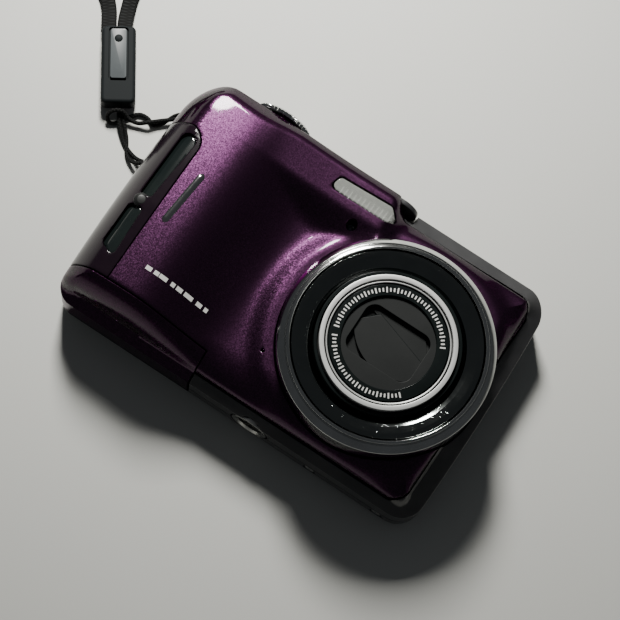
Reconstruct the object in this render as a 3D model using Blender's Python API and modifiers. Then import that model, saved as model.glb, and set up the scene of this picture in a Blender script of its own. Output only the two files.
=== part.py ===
"""Compact digital camera with a wrist strap, lying on its back.

+Z is the optical axis (up), +X runs towards the lens side, +Y towards the camera's top.
All sizes below are in millimetres, counted from the middle of the casing; the helpers turn
them into metres, and the last step moves everything so that the whole camera (without its
strap) is centred on the origin and lies on z = 0.
"""
import math

import bmesh
import bpy
from mathutils import Matrix, Vector

MM = 0.001
GAP = 0.3                       # clearance between neighbouring pieces

# casing
HALF_W, HALF_H = 48.7, 30.9     # half width and half height of the casing
BACK_Z = 0.6                    # back wall; the screen rim stands proud of it, down to z = 0
WALL = 1.5
SPLIT_Z = 6.5                   # parting line between rear cover and middle frame
PANEL_Z = 9.3                   # lower edge of the coloured front cover
CREST_Z = 21.0                   # where the grip's top slope starts
CORNER_R = (6.0, 9.5, 4.5, 5.5)  # plan radii: top right, top left, bottom left, bottom right
SIDE_BOW = 0.018                # how much the two short sides bulge
GRIP_X, GRIP_Z = -31.0, 26.0    # crown of the hand grip
VALLEY_Z = 17.8                 # low ground between grip and lens
FLANGE_Z = 20.8                 # raised ground round the lens
HUMP_Z = 22.8                   # flash housing at the top edge
PANEL_RIGHT, PANEL_TOP, PANEL_BOTTOM, PANEL_STEP = 44.8, 26.9, -28.4, 8.7

# lens
LENS = (21.9, -1.9)
RING_R = 24.5
DISH_R = 21.4
BORE_R = 16.9
BARRELS = {"barrel_outer": (15.75, 16.6, 9.2, 27.0),
           "barrel_middle": (14.25, 15.45, 9.6, 28.0)}
INNER_R = 13.95
SPLIT_ANGLE = math.radians(-18.0)   # line where the two barrier blades meet
UPPER_PIVOT = (-10.5, 6.1)
LOWER_PIVOT = (11.6, -1.1)
UPPER_SWING, LOWER_SWING = math.radians(18.0), math.radians(30.0)

# battery door and cells
DOOR_RIGHT, DOOR_FRONT_Y, DOOR_Z = -11.2, -24.0, 3.9
HINGE_Y, HINGE_Z = -29.3, 5.45
CELL_R, CELL_LENGTH, CELL_Z, CELL_BASE_Y = 7.25, 49.2, 12.0, -24.5
CELL_X = (-38.3, -23.6)

# top controls
DIAL_X, DIAL_Z, DIAL_R, DIAL_TOP_Y = -26.8, 14.0, 7.25, 33.0
PLATE_TOP_Y = 30.9
SHUTTER_TOP_Y = 33.5

# strap
SLIDER_FOOT = Vector((-63.3, 17.4, 0.0))
SLIDER_DIR = Vector((-0.553, 0.833, 0.0)).normalized()
SLIDER_L, SLIDER_W, SLIDER_T = 19.7, 8.2, 4.6
CORD_D = 1.0
COIL_CENTRE = (-95.0, 63.9)
COIL_IN, COIL_OUT, COIL_T = 15.5, 24.9, 2.9
WEB_W, WEB_T = 4.5, 1.2

ORIGIN_SHIFT = Vector((0.0, -(SHUTTER_TOP_Y - HALF_H) / 2, 0.0)) * MM

for old in list(bpy.data.objects):
    bpy.data.objects.remove(old)
camera_parts = bpy.data.collections.new("digital_camera")
cutters = bpy.data.collections.new("cutters")
bpy.context.scene.collection.children.link(camera_parts)
bpy.context.scene.collection.children.link(cutters)


# ---------------------------------------------------------------- materials
def material(name, color, roughness, metallic=0.0):
    made = bpy.data.materials.new(name)
    made.use_nodes = True
    shader = made.node_tree.nodes["Principled BSDF"]
    shader.inputs["Base Color"].default_value = (*color, 1.0)
    shader.inputs["Roughness"].default_value = roughness
    shader.inputs["Metallic"].default_value = metallic
    return made


PURPLE = material("purple_lacquer", (0.10, 0.015, 0.10), 0.28, 0.5)
GREY = material("grey_plastic", (0.035, 0.035, 0.04), 0.45)
BLACK = material("black_plastic", (0.012, 0.012, 0.013), 0.4)
CHROME = material("chrome", (0.7, 0.7, 0.7), 0.12, 1.0)
DARK_CHROME = material("dark_chrome", (0.16, 0.17, 0.17), 0.15, 1.0)
SILVER = material("satin_silver", (0.6, 0.6, 0.6), 0.3, 1.0)
CLEAR = material("clear_plastic", (0.8, 0.82, 0.8), 0.05)
GLASS = material("lens_glass", (0.05, 0.06, 0.09), 0.03)
STEEL = material("spring_steel", (0.5, 0.5, 0.48), 0.3, 1.0)
BOARD = material("circuit_board", (0.02, 0.12, 0.05), 0.5)
CELL = material("cell_jacket", (0.30, 0.30, 0.32), 0.35, 0.3)
CORD = material("black_cord", (0.01, 0.01, 0.01), 0.7)


# ---------------------------------------------------------------- helpers
def add(name, mesh, finish):
    obj = bpy.data.objects.new(name, mesh)
    mesh.materials.append(finish)
    camera_parts.objects.link(obj)
    return obj


def smooth(obj, angle=35.0):
    obj.data.shade_smooth()
    obj.data.set_sharp_from_angle(angle=math.radians(angle))
    return obj


def round_edges(obj, width, segments=2):
    bevel = obj.modifiers.new("rounded", "BEVEL")
    bevel.width = width * MM
    bevel.segments = segments
    bevel.limit_method = "ANGLE"
    bevel.angle_limit = math.radians(40)
    return obj


def block(name, low, high, finish, rounding=0.0):
    """A box between two corners, with its origin at its middle."""
    low, high = Vector(low), Vector(high)
    bm = bmesh.new()
    bmesh.ops.create_cube(bm, size=1.0)
    bmesh.ops.scale(bm, vec=(high - low) * MM, verts=bm.verts)
    mesh = bpy.data.meshes.new(name)
    bm.to_mesh(mesh)
    bm.free()
    obj = add(name, mesh, finish)
    obj.location = (low + high) / 2 * MM
    if rounding:
        round_edges(obj, rounding)
    return obj


AXIS_TURN = {"Z": (0.0, 0.0, 0.0), "Y": (-math.pi / 2, 0.0, 0.0), "X": (0.0, math.pi / 2, 0.0),
             "-Y": (math.pi / 2, 0.0, 0.0)}


def rod(name, centre, radius, length, axis, finish, sides=24):
    """A cylinder whose middle is at centre, along a named axis."""
    bm = bmesh.new()
    bmesh.ops.create_cone(bm, cap_ends=True, segments=sides, radius1=radius * MM,
                          radius2=radius * MM, depth=length * MM)
    mesh = bpy.data.meshes.new(name)
    bm.to_mesh(mesh)
    bm.free()
    obj = add(name, mesh, finish)
    obj.location = Vector(centre) * MM
    obj.rotation_euler = AXIS_TURN[axis]
    return smooth(obj)


def turned(name, profile, centre, axis, finish, steps=40, closed=False):
    """A profile of (radius, height) pairs spun round an axis through centre."""
    mesh = bpy.data.meshes.new(name)
    points = [(radius * MM, 0.0, height * MM) for radius, height in profile]
    edges = [(i, i + 1) for i in range(len(points) - 1)]
    if closed:
        edges.append((len(points) - 1, 0))
    mesh.from_pydata(points, edges, [])
    obj = add(name, mesh, finish)
    screw = obj.modifiers.new("spin", "SCREW")
    screw.steps = screw.render_steps = steps
    screw.use_merge_vertices = True
    screw.merge_threshold = 0.00001
    screw.use_smooth_shade = False
    obj.location = Vector(centre) * MM
    obj.rotation_euler = AXIS_TURN[axis]
    return obj


def curve_to_mesh(name, curve_obj, finish):
    """Turn a curve into a closed mesh object in the same place."""
    bpy.context.view_layer.update()
    evaluated = curve_obj.evaluated_get(bpy.context.evaluated_depsgraph_get())
    mesh = bpy.data.meshes.new_from_object(evaluated)
    bm = bmesh.new()
    bm.from_mesh(mesh)
    bmesh.ops.remove_doubles(bm, verts=bm.verts, dist=0.000001)
    bm.to_mesh(mesh)
    bm.free()
    mesh.materials.clear()
    obj = add(name, mesh, finish)
    obj.matrix_world = curve_obj.matrix_world
    bpy.data.objects.remove(curve_obj)
    return obj


def prism(name, outline, z_low, z_high, finish):
    """A flat outline of (x, y) pairs raised between two heights."""
    data = bpy.data.curves.new(name, "CURVE")
    data.dimensions = "2D"
    data.fill_mode = "BOTH"
    data.extrude = (z_high - z_low) / 2 * MM
    spline = data.splines.new("POLY")
    spline.points.add(len(outline) - 1)
    for point, (x, y) in zip(spline.points, outline):
        point.co = (x * MM, y * MM, 0.0, 1.0)
    spline.use_cyclic_u = True
    guide = bpy.data.objects.new(name + "_outline", data)
    guide.location = (0.0, 0.0, (z_low + z_high) / 2 * MM)
    camera_parts.objects.link(guide)
    return curve_to_mesh(name, guide, finish)


def tube(name, route, radius, finish, resolution=2):
    """A wire through a route of points, as a curve with filled caps."""
    data = bpy.data.curves.new(name, "CURVE")
    data.dimensions = "3D"
    data.bevel_depth = radius * MM
    data.bevel_resolution = resolution
    data.use_fill_caps = True
    spline = data.splines.new("POLY")
    spline.points.add(len(route) - 1)
    for point, place in zip(spline.points, route):
        point.co = (*(Vector(place) * MM), 1.0)
    obj = bpy.data.objects.new(name, data)
    data.materials.append(finish)
    camera_parts.objects.link(obj)
    return obj


def smooth_route(points, spacing):
    """Points about one spacing apart on a Catmull-Rom curve through a hand-chosen route."""
    points = [Vector(p) for p in points]
    ends = [2 * points[0] - points[1]] + points + [2 * points[-1] - points[-2]]
    dense = []
    for a, b, c, d in zip(ends, ends[1:], ends[2:], ends[3:]):
        for step in range(24):
            t = step / 24
            dense.append(0.5 * ((2 * b) + (c - a) * t + (2 * a - 5 * b + 4 * c - d) * t * t
                                + (3 * b - a - 3 * c + d) * t ** 3))
    dense.append(points[-1])
    lengths = [0.0]
    for a, b in zip(dense, dense[1:]):
        lengths.append(lengths[-1] + (b - a).length)
    count = max(2, round(lengths[-1] / spacing))
    route, j = [], 0
    for i in range(count + 1):
        target = lengths[-1] * i / count
        while j < len(lengths) - 2 and lengths[j + 1] < target:
            j += 1
        span = lengths[j + 1] - lengths[j]
        route.append(dense[j].lerp(dense[j + 1], (target - lengths[j]) / span if span else 0.0))
    return route


def rounded(corners, steps=4):
    """An outline whose (x, y, radius) corners are replaced by arcs."""
    outline = []
    for i, (x, y, radius) in enumerate(corners):
        here = Vector((x, y))
        before = Vector(corners[i - 1][:2]) - here
        after = Vector(corners[(i + 1) % len(corners)][:2]) - here
        if radius <= 0:
            outline.append((x, y))
            continue
        half = before.angle(after) / 2
        run = radius / math.tan(half)
        start = here + before.normalized() * run
        end = here + after.normalized() * run
        centre = here + (before.normalized() + after.normalized()).normalized() * radius / math.sin(half)
        for step in range(steps + 1):
            spoke = (start - centre).normalized().slerp((end - centre).normalized(), step / steps)
            outline.append(tuple(centre + spoke * radius))
    return outline


def rectangle(x0, y0, x1, y1, radius, steps=4):
    return rounded([(x0, y0, radius), (x1, y0, radius), (x1, y1, radius), (x0, y1, radius)], steps)


def boolean(target, tool, operation):
    """Cut, join or keep; the tool stays in the file as a hidden guide.

    The curved covers use the manifold solver, because the exact one leaves pinholes in them.
    """
    modifier = target.modifiers.new(operation.lower(), "BOOLEAN")
    modifier.operation = operation
    modifier.solver = "MANIFOLD" if target.name in CURVED_COVERS else "EXACT"
    modifier.object = tool
    if tool.name in camera_parts.objects:
        camera_parts.objects.unlink(tool)
        cutters.objects.link(tool)
    tool.hide_render = True
    tool.display_type = "WIRE"
    return target


def cut(target, *tools):
    for tool in tools:
        boolean(target, tool, "DIFFERENCE")
    return target


def keep(target, tool):
    return boolean(target, tool, "INTERSECT")


def join(target, *tools):
    for tool in tools:
        boolean(target, tool, "UNION")
    return target


# ---------------------------------------------------------------- the casing's form
CURVED_COVERS = ("front_cover", "middle_frame", "rear_cover", "battery_door", "grip_inlay", "flash_window")
OUTLINE_STEPS = (9, 5, 9, 5)    # divisions of the straight sides
ARC_STEPS = 4                   # divisions of each corner
INSETS = (0.0, 1.2, 2.5, 4.2, 6.0, 8.0, 10.5)   # rings of the rounded front edge


def ease(low, high, value):
    t = min(max((value - low) / (high - low), 0.0), 1.0)
    return t * t * (3 - 2 * t)


def soft_max(a, b, softness=1.2):
    return 0.5 * (a + b + math.sqrt((a - b) ** 2 + softness ** 2))


def ground(x, y):
    """Height of the front before its edges are rounded off."""
    crown = GRIP_Z + 0.3 - 0.0015 * (y + 4.0) ** 2
    if x > GRIP_X:
        grip = VALLEY_Z + (crown - VALLEY_Z) * (1 - ease(GRIP_X, -7.0, x))
    else:
        grip = crown - 1.4 * ease(GRIP_X, -48.0, x)
    reach = math.hypot(x - LENS[0], y - LENS[1])
    flange = VALLEY_Z - 0.6 + (FLANGE_Z - VALLEY_Z) * (1 - ease(26.5, 33.0, reach))
    ridge = HUMP_Z - VALLEY_Z + 1.3 * (1 - ease(-32.0, -4.0, x))
    ridge *= ease(-37.0, -26.0, x) * (1 - ease(6.0, 11.5, x))
    hump = VALLEY_Z + ridge * ease(12.0, 21.0, y)
    return soft_max(soft_max(grip, flange), hump) - 0.4


def outline_ring(inset):
    """Points and outward normals of the casing's outline, pulled in by inset."""
    corners = [(HALF_W, HALF_H, 0), (-HALF_W, HALF_H, 90), (-HALF_W, -HALF_H, 180), (HALF_W, -HALF_H, 270)]
    ring = []
    for (x, y, start), radius, steps in zip(corners, CORNER_R, OUTLINE_STEPS):
        centre = Vector((x - math.copysign(radius, x), y - math.copysign(radius, y)))
        arc = max(radius - inset, 0.5)
        pull = max(inset - radius + 0.5, 0.0)
        centre -= Vector((math.copysign(pull, x), math.copysign(pull, y)))
        for step in range(ARC_STEPS + 1):
            angle = math.radians(start + 90 * step / ARC_STEPS)
            normal = Vector((math.cos(angle), math.sin(angle)))
            ring.append((centre + normal * arc, normal, steps if step == ARC_STEPS else 0))
    filled = []
    for i, (place, normal, steps) in enumerate(ring):
        filled.append((place, normal))
        after = ring[(i + 1) % len(ring)][0]
        for step in range(1, steps):
            filled.append((place.lerp(after, step / steps), normal))
    return [(Vector((p.x * (1 - SIDE_BOW * (p.y / HALF_H) ** 2), p.y)), n) for p, n in filled]


def front_height(place, normal, inset):
    """Height of the front skin at a distance in from the outline."""
    top = max(normal.y, 0.0) ** 2
    left = max(-normal.x, 0.0) ** 2
    bottom = max(normal.y * -1, 0.0) ** 2
    right = max(normal.x, 0.0) ** 2
    plain_top = top * ease(5.0, 10.0, place.x)
    slanted = top - plain_top
    crown = ground(place.x, 26.0)
    crest = min(CREST_Z, crown - 2.4)
    chamfer = 2.4 * bottom + 3.9 * right + 3.6 * plain_top
    edge = 11.8 + 2.2 * top + 1.0 * left + (crest - 14.0) * slanted
    rise = 0.9 * min(inset, chamfer) * (1 - 0.25 * (right + plain_top))
    under = bottom * (3.0 * ease(-16.0, -8.0, place.x) - 2.0)
    width = 7.5 + under - 2.2 * plain_top - 2.5 * right + ((crown - crest) / 0.8 - 7.5) * slanted
    share = min(max((inset - chamfer) / width, 0.0), 1.0)
    start = edge + rise
    full = math.sqrt(1 - (1 - share) ** 2)
    flat = 1 - (1 - share) ** 1.5
    return start + (ground(place.x, place.y) - start) * (full + (flat - full) * (slanted + 0.5 * left))


def casing_form(name, skin):
    """Closed form of the whole casing, with every face moved in by skin."""
    bm = bmesh.new()
    loops = []

    def ring(inset, height_of):
        loops.append([bm.verts.new(Vector((p.x, p.y, height_of(p, n))) * MM)
                      for p, n in outline_ring(inset + skin)])

    ring(3.0, lambda p, n: BACK_Z + skin)
    ring(0.9, lambda p, n: BACK_Z + skin + 0.8)
    ring(0.0, lambda p, n: BACK_Z + skin + 2.6)
    for inset in INSETS:
        ring(inset, lambda p, n, inset=inset: front_height(p, n, inset) - skin * (1.0 if inset else 0.5))
    last = outline_ring(INSETS[-1] + skin)
    for share in (0.8, 0.58, 0.34, 0.14):
        loops.append([bm.verts.new(Vector((p.x * share, p.y * share,
                                           front_height(p * share, n, 12.0) - skin)) * MM)
                      for p, n in last])
    for lower, upper in zip(loops, loops[1:]):
        for i in range(len(lower)):
            j = (i + 1) % len(lower)
            bm.faces.new((lower[i], lower[j], upper[j], upper[i]))
    bm.faces.new(list(reversed(loops[0])))
    crown = bm.verts.new((0.0, 0.0, (ground(0.0, 0.0) - skin) * MM))
    tip = loops[-1]
    for i in range(len(tip)):
        bm.faces.new((tip[i], tip[(i + 1) % len(tip)], crown))
    bm.normal_update()
    mesh = bpy.data.meshes.new(name)
    bm.to_mesh(mesh)
    bm.free()
    return mesh


def shell(name, finish):
    """The hollow casing, ready to be divided."""
    obj = add(name, casing_form(name, 0.0), finish)
    return cut(obj, add(name + "_hollow", casing_form(name + "_hollow", WALL), finish))


def above(name, height):
    return block(name, (-70, -50, height), (70, 50, 60), GREY)


def panel_prism(name, grow):
    """The plan area that the coloured front cover fills."""
    corners = [(-70, PANEL_BOTTOM - grow, 0), (PANEL_RIGHT - 1.4 + grow, PANEL_BOTTOM - grow, 4.0),
               (PANEL_RIGHT + grow, PANEL_TOP + 0.6 + grow, 4.5), (PANEL_STEP + grow, PANEL_TOP + grow, 0.8),
               (PANEL_STEP + grow, 45, 0), (-70, 45, 0)]
    return prism(name, rounded(corners), PANEL_Z - grow, 60, GREY)


def door_zone(name, grow):
    """The corner that the battery door fills; the hinge edge gets more room to swing."""
    behind = DOOR_Z - (1.0 if grow else 0.0)
    return block(name, (-70, -45, behind), (DOOR_RIGHT + grow, DOOR_FRONT_Y + grow, 60), GREY)


def lens_hole(name):
    return rod(name, (*LENS, 30), RING_R + GAP, 40, "Z", GREY, sides=44)


def top_plate_outline(grow):
    """Plan of the control plate, in x and z."""
    return rectangle(-37.0 - grow, 9.8 - grow, 11.0 + grow, 19.3 + grow, 4.0 + grow, 3)


def top_plate_prism(name, grow, y_low, y_high, finish):
    """The control plate's outline raised along +Y."""
    obj = prism(name, [(x, -z) for x, z in top_plate_outline(grow)], y_low, y_high, finish)
    obj.rotation_euler = AXIS_TURN["Y"]
    obj.location = Vector((0.0, (y_low + y_high) / 2, 0.0)) * MM
    return obj


def inlay_outline(grow):
    """Plan of the long finger rest let into the grip's side."""
    return rounded([(-39.5 + grow, -19.5 - grow, 1.2), (-40.0 + grow, -4.0, 0), (-38.9 + grow, 15.0 + grow, 2.2),
                    (-43.0 - grow, 15.0 + grow, 1.8), (-44.0 - grow, -17.2 - grow, 2.2)])


def flash_outline(grow):
    return rounded([(-8.7 - grow, 23.0 - grow, 1.2), (6.0, 23.0 - grow, 1.5), (8.3 + grow, 24.2, 0.9),
                    (5.6 + grow, 26.7 + grow, 1.2), (-7.9 - grow, 26.1 + grow, 1.2)])


# ---------------------------------------------------------------- covers
def make_front_cover():
    cover = shell("front_cover", PURPLE)
    keep(cover, panel_prism("panel_area", 0.0))
    cut(cover, lens_hole("front_lens_hole"), door_zone("front_door_gap", GAP),
        prism("inlay_pocket", inlay_outline(GAP), 14.6, 60, GREY),
        prism("flash_pocket", flash_outline(GAP), 12, 60, GREY),
        rod("af_hole", (0.1, 18.2, 20), 0.95 + GAP, 20, "Z", GREY, 16),
        rod("mic_hole", (-0.7, -17.2, 18), 0.45, 12, "Z", GREY, 12),
        rod("socket_gap_front", (5.4, -30, 7.6), 4.6 + GAP, 8, "Y", GREY),
        top_plate_prism("plate_gap_front", GAP, 28.0, 40.0, GREY))


def make_middle_frame():
    frame = shell("middle_frame", GREY)
    keep(frame, above("frame_zone", SPLIT_Z + GAP))
    cut(frame, panel_prism("panel_area_grown", GAP), lens_hole("frame_lens_hole"),
        door_zone("frame_door_gap", GAP),
        top_plate_prism("plate_gap_frame", GAP, 28.0, 40.0, GREY),
        rod("socket_gap_frame", (5.4, -30, 7.6), 4.6 + GAP, 8, "Y", GREY),
        block("usb_gap", (44, 4.0 - GAP, 8.0 - GAP), (52, 11.4 + GAP, 10.8 + GAP), GREY))


BACK_BUTTONS = {"delete_button": (-41.5, 9.0), "menu_button": (-22.5, 9.0),
                "info_button": (-22.5, -17.0), "review_button": (-41.5, -17.0), "share_button": (-32.0, -20.0)}
PAD = (-32.0, -4.0)
ROCKER = (-32.0, 24.0)
BUTTON_R = 2.3
SCREEN = (-15.5, -23.2, 46.0, 23.2)
STRAP_SLOTS = ((9.0, 15.0), (17.6, 24.2))
SCREWS = {"case_screw_1": (22.0, -30.9, "-Y"), "case_screw_2": (40.0, -30.9, "-Y")}
SCREW_Z = 4.5


def make_rear_cover():
    cover = shell("rear_cover", GREY)
    cut(cover, above("frame_side", SPLIT_Z), door_zone("rear_door_gap", GAP))
    x0, y0, x1, y1 = SCREEN
    rim = prism("screen_rim", rectangle(x0 - 1.8, y0 - 1.8, x1 + 1.2, y1 + 1.8, 2.5), 0.0, 1.6, GREY)
    pad = prism("thumb_rest", rectangle(-45.5, 12.6, -37.0, 20.4, 2.5), 0.0, 1.6, GREY)
    join(cover, rim, pad)
    cut(cover, prism("screen_gap", rectangle(x0 - GAP, y0 - GAP, x1 + GAP, y1 + GAP, 1.5), -2, 4, GREY),
        rod("pad_gap", (*PAD, 1), 8.6 + GAP, 8, "Z", GREY, 32),
        prism("rocker_gap", rectangle(ROCKER[0] - 6.8, ROCKER[1] - 2.6, ROCKER[0] + 6.8,
                                      ROCKER[1] + 2.6, 2.5), -2, 4, GREY),
        rod("socket_gap_rear", (5.4, -30, 7.6), 4.6 + GAP, 8, "Y", GREY))
    for name, (x, y) in BACK_BUTTONS.items():
        cut(cover, rod(name + "_gap", (x, y, 1), BUTTON_R + GAP, 8, "Z", GREY, 20))
    for i, (low, high) in enumerate(STRAP_SLOTS):
        cut(cover, block("strap_slot_%d" % i, (-52, low, 2.7), (-44.6, high, 5.6), GREY))
    cut(cover, block("strap_channel", (-46.9, STRAP_SLOTS[0][0] + 1, 2.7), (-44.8, STRAP_SLOTS[1][1] - 1, 5.4), GREY))
    for name, (x, y, _) in SCREWS.items():
        cut(cover, rod(name + "_gap", (x, y, SCREW_Z), 1.3 + GAP, 8, "Y", GREY, 16))


def make_top_plate():
    plate = top_plate_prism("top_plate", 0.0, 29.7, PLATE_TOP_Y, SILVER)
    cut(plate, rod("dial_gap", (DIAL_X, 30, DIAL_Z), 4.4 + GAP, 10, "Y", GREY, 24),
        rod("power_gap", (-8.0, 30, 14.5), 3.0 + GAP, 10, "Y", GREY, 24),
        rod("flash_gap", (3.0, 30, 14.5), 2.4 + GAP, 10, "Y", GREY, 24))


def make_grip_inlay():
    inlay = add("grip_inlay", casing_form("grip_inlay", 0.8), BLACK)
    cut(inlay, add("inlay_hollow", casing_form("inlay_hollow", 2.4), BLACK))
    keep(inlay, prism("inlay_area", inlay_outline(0.0), 14.9, 60, BLACK))


# ---------------------------------------------------------------- flash, lamp and screen
def make_flash():
    window = add("flash_window", casing_form("flash_window", 0.25), CLEAR)
    keep(window, prism("flash_area", flash_outline(0.0), 19.4, 60, CLEAR))
    trough = block("flash_reflector", (-7.6, 22.4, 14.0), (6.4, 26.2, 18.9), CHROME)
    cut(trough, rod("reflector_hollow", (-0.6, 24.3, 18.9), 1.5, 13, "X", GREY, 20),
        block("reflector_mouth", (-7.0, 22.9, 18.3), (5.8, 25.7, 22), GREY))
    rod("flash_tube", (-0.6, 24.3, 18.4), 0.8, 12.0, "X", GLASS, 12)
    rod("flash_capacitor", (-7.2, -1.0, 10.8), 3.9, 26.0, "Y", BLACK, 24)
    turned("af_lamp", [(0, 19.0), (0.6, 18.9), (0.95, 18.6), (0.95, 15.2), (0, 15.2)],
           (0.1, 18.2, 0), "Z", GLASS, 16)


def make_screen():
    x0, y0, x1, y1 = SCREEN
    prism("lcd_window", rectangle(x0, y0, x1, y1, 1.2), 0.35, 1.5, GLASS)
    block("lcd_panel", (x0 + 0.8, y0 + 0.6, 1.8), (x1 - 0.8, y1 - 0.6, 3.6), BLACK)


def make_boards():
    board = block("main_board", (-12.5, -22, 4.0), (44, 24, 5.0), BOARD)
    cut(board, rod("board_socket_gap", (5.4, -24, 4.5), 5.5, 4, "Z", GREY, 24))
    block("button_board", (-43.2, -23, 3.5), (-17, 26.4, 3.9), BOARD)
    block("image_sensor", (LENS[0] - 5, LENS[1] - 4.5, 5.4), (LENS[0] + 5, LENS[1] + 4.5, 6.6), BLACK, 0.2)
    rod("zoom_motor", (1.2, 10.0, 10.6), 3.0, 11.0, "Y", STEEL, 20)
    block("usb_socket", (42.6, 4.0, 8.0), (48.3, 11.4, 10.8), STEEL, 0.4)


# ---------------------------------------------------------------- lens
def make_lens_housing():
    x, y = LENS
    turned("lens_ring", [(23.0, 25.9), (24.1, 25.6), (RING_R, 25.2), (RING_R, 13.6), (22.8, 13.6),
                         (22.8, 23.0), (DISH_R + GAP, 23.6), (DISH_R + GAP, 26.9), (22.2, 27.1)],
           (x, y, 0), "Z", CHROME, 44, closed=True)
    turned("lens_dish", [(DISH_R, 26.5), (DISH_R, 24.6), (18.2, 23.6), (18.2, 8.7), (BORE_R, 8.7),
                         (BORE_R, 25.6)], (x, y, 0), "Z", DARK_CHROME, 36, closed=True)
    base = rod("lens_base", (x, y, 7.6), 19.4, 1.3, "Z", BLACK, 32)
    cut(base, block("sensor_gap", (x - 4, y - 3.2, 0), (x + 4, y + 3.2, 20), GREY))


def make_barrels():
    x, y = LENS
    finish = {"barrel_outer": BLACK, "barrel_middle": SILVER}
    for name, (inner, outer, low, high) in BARRELS.items():
        turned(name, [(inner + 0.2, high), (outer - 0.2, high), (outer, high - 0.2), (outer, low),
                      (inner, low), (inner, high - 0.2)], (x, y, 0), "Z", finish[name], 36, closed=True)
    turned("barrel_inner", [(13.7, 27.7), (INNER_R, 27.5), (INNER_R, 10.0), (12.9, 10.0), (12.9, 26.8),
                            (13.65, 26.8), (13.65, 27.7)], (x, y, 0), "Z", BLACK, 36, closed=True)
    turned("front_bezel", [(10.8, 27.5), (13.3, 27.5), (13.3, 27.15), (10.5, 27.15)],
           (x, y, 0), "Z", BLACK, 36, closed=True)
    window = rod("window_frame", (x, y, 26.45), 12.5, 0.7, "Z", GREY, 36)
    cut(window, prism("window_hole", rectangle(x - 8.3, y - 6.2, x + 8.3, y + 6.2, 2.6), 20, 30, GREY))
    turned("lens_group", [(12.5, 23.6), (12.5, 20.4), (11.2, 20.4), (11.2, 22.2), (5.5, 22.2), (3.8, 23.6)],
           (x, y, 0), "Z", GREY, 32, closed=True)
    turned("front_lens", [(0, 21.9), (3.0, 21.6), (5.1, 20.9), (5.1, 19.6), (0, 18.6)], (x, y, 0), "Z", GLASS, 24)


def blade(name, pivot, swing, above_line, z_low, z_high):
    """A barrier blade: what lies on one side of the split line and stays inside the barrel."""
    x, y = LENS
    reach = 12.3
    middle = Vector((x, y, (z_low + z_high) / 2))
    hub = Vector((x + pivot[0], y + pivot[1], 0.0))
    plate = rod(name, middle, reach, z_high - z_low, "Z", DARK_CHROME, 32)
    back = Matrix.Rotation(-swing, 3, "Z") @ Vector((-pivot[0], -pivot[1], 0.0))
    keep(plate, rod(name + "_stored", (hub.x + back.x, hub.y + back.y, 25), reach, 10, "Z", GREY, 32))
    half = block(name + "_half", (-20, -30, -5), (20, 0, 5), GREY)
    turn = SPLIT_ANGLE if above_line else SPLIT_ANGLE + math.pi
    offset = Vector((-math.sin(SPLIT_ANGLE), math.cos(SPLIT_ANGLE), 0.0)) * (2.5 if above_line else 3.1)
    centre = Vector((x, y, 25.0)) + offset + Matrix.Rotation(turn, 3, "Z") @ Vector((0, -15, 0))
    half.location = centre * MM
    half.rotation_euler = (0.0, 0.0, turn)
    cut(plate, half)
    join(plate, rod(name + "_ear", (hub.x, hub.y, middle.z), 0.45, z_high - z_low, "Z", GREY, 12))
    return plate


def make_barrier():
    blade("barrier_upper", UPPER_PIVOT, UPPER_SWING, True, 24.1, 24.5)
    blade("barrier_lower", LOWER_PIVOT, LOWER_SWING, False, 24.9, 25.4)


# ---------------------------------------------------------------- controls
def make_top_controls():
    turned("mode_dial", [(3.7, DIAL_TOP_Y), (6.7, DIAL_TOP_Y), (DIAL_R, 32.6), (DIAL_R, 31.7), (4.4, 31.7),
                         (4.4, 29.0), (3.7, 29.0)], (DIAL_X, 0, DIAL_Z), "Y", CHROME, 28, closed=True)
    turned("shutter_button", [(0, SHUTTER_TOP_Y), (2.2, 33.4), (3.3, 32.9), (3.3, 29.6), (0, 29.6)],
           (DIAL_X, 0, DIAL_Z), "Y", SILVER, 20)
    turned("power_button", [(0, 31.9), (2.7, 31.9), (3.0, 31.6), (3.0, 29.3), (3.9, 29.3), (3.9, 28.8), (0, 28.8)],
           (-8.0, 0, 14.5), "Y", GREY, 18)
    turned("flash_button", [(0, 31.9), (2.1, 31.9), (2.4, 31.6), (2.4, 29.3), (3.3, 29.3), (3.3, 28.8), (0, 28.8)],
           (3.0, 0, 14.5), "Y", GREY, 18)


def make_back_controls():
    for name, (x, y) in BACK_BUTTONS.items():
        turned(name, [(0, 2.9), (BUTTON_R + 0.8, 2.9), (BUTTON_R + 0.8, 2.5), (BUTTON_R, 2.5), (BUTTON_R, 0.5),
                      (BUTTON_R - 0.25, 0.25), (0, 0.25)], (x, y, 0), "Z", GREY, 16)
    turned("four_way_pad", [(8.6, 2.5), (8.6, 0.7), (8.3, 0.5), (4.4, 0.6), (4.1, 0.8), (4.1, 3.0), (9.3, 3.0),
                            (9.3, 2.5)], (*PAD, 0), "Z", GREY, 28, closed=True)
    rod("ok_button", (*PAD, 1.7), 3.7, 2.5, "Z", SILVER, 24)
    x, y = ROCKER
    rocker = prism("zoom_rocker", rectangle(x - 6.4, y - 2.2, x + 6.4, y + 2.2, 2.1), 0.45, 3.0, GREY)
    rocker.data.transform(Matrix.Translation(Vector((-x, -y, 0)) * MM))
    rocker.location = Vector((x, y, (0.45 + 3.0) / 2)) * MM


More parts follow.
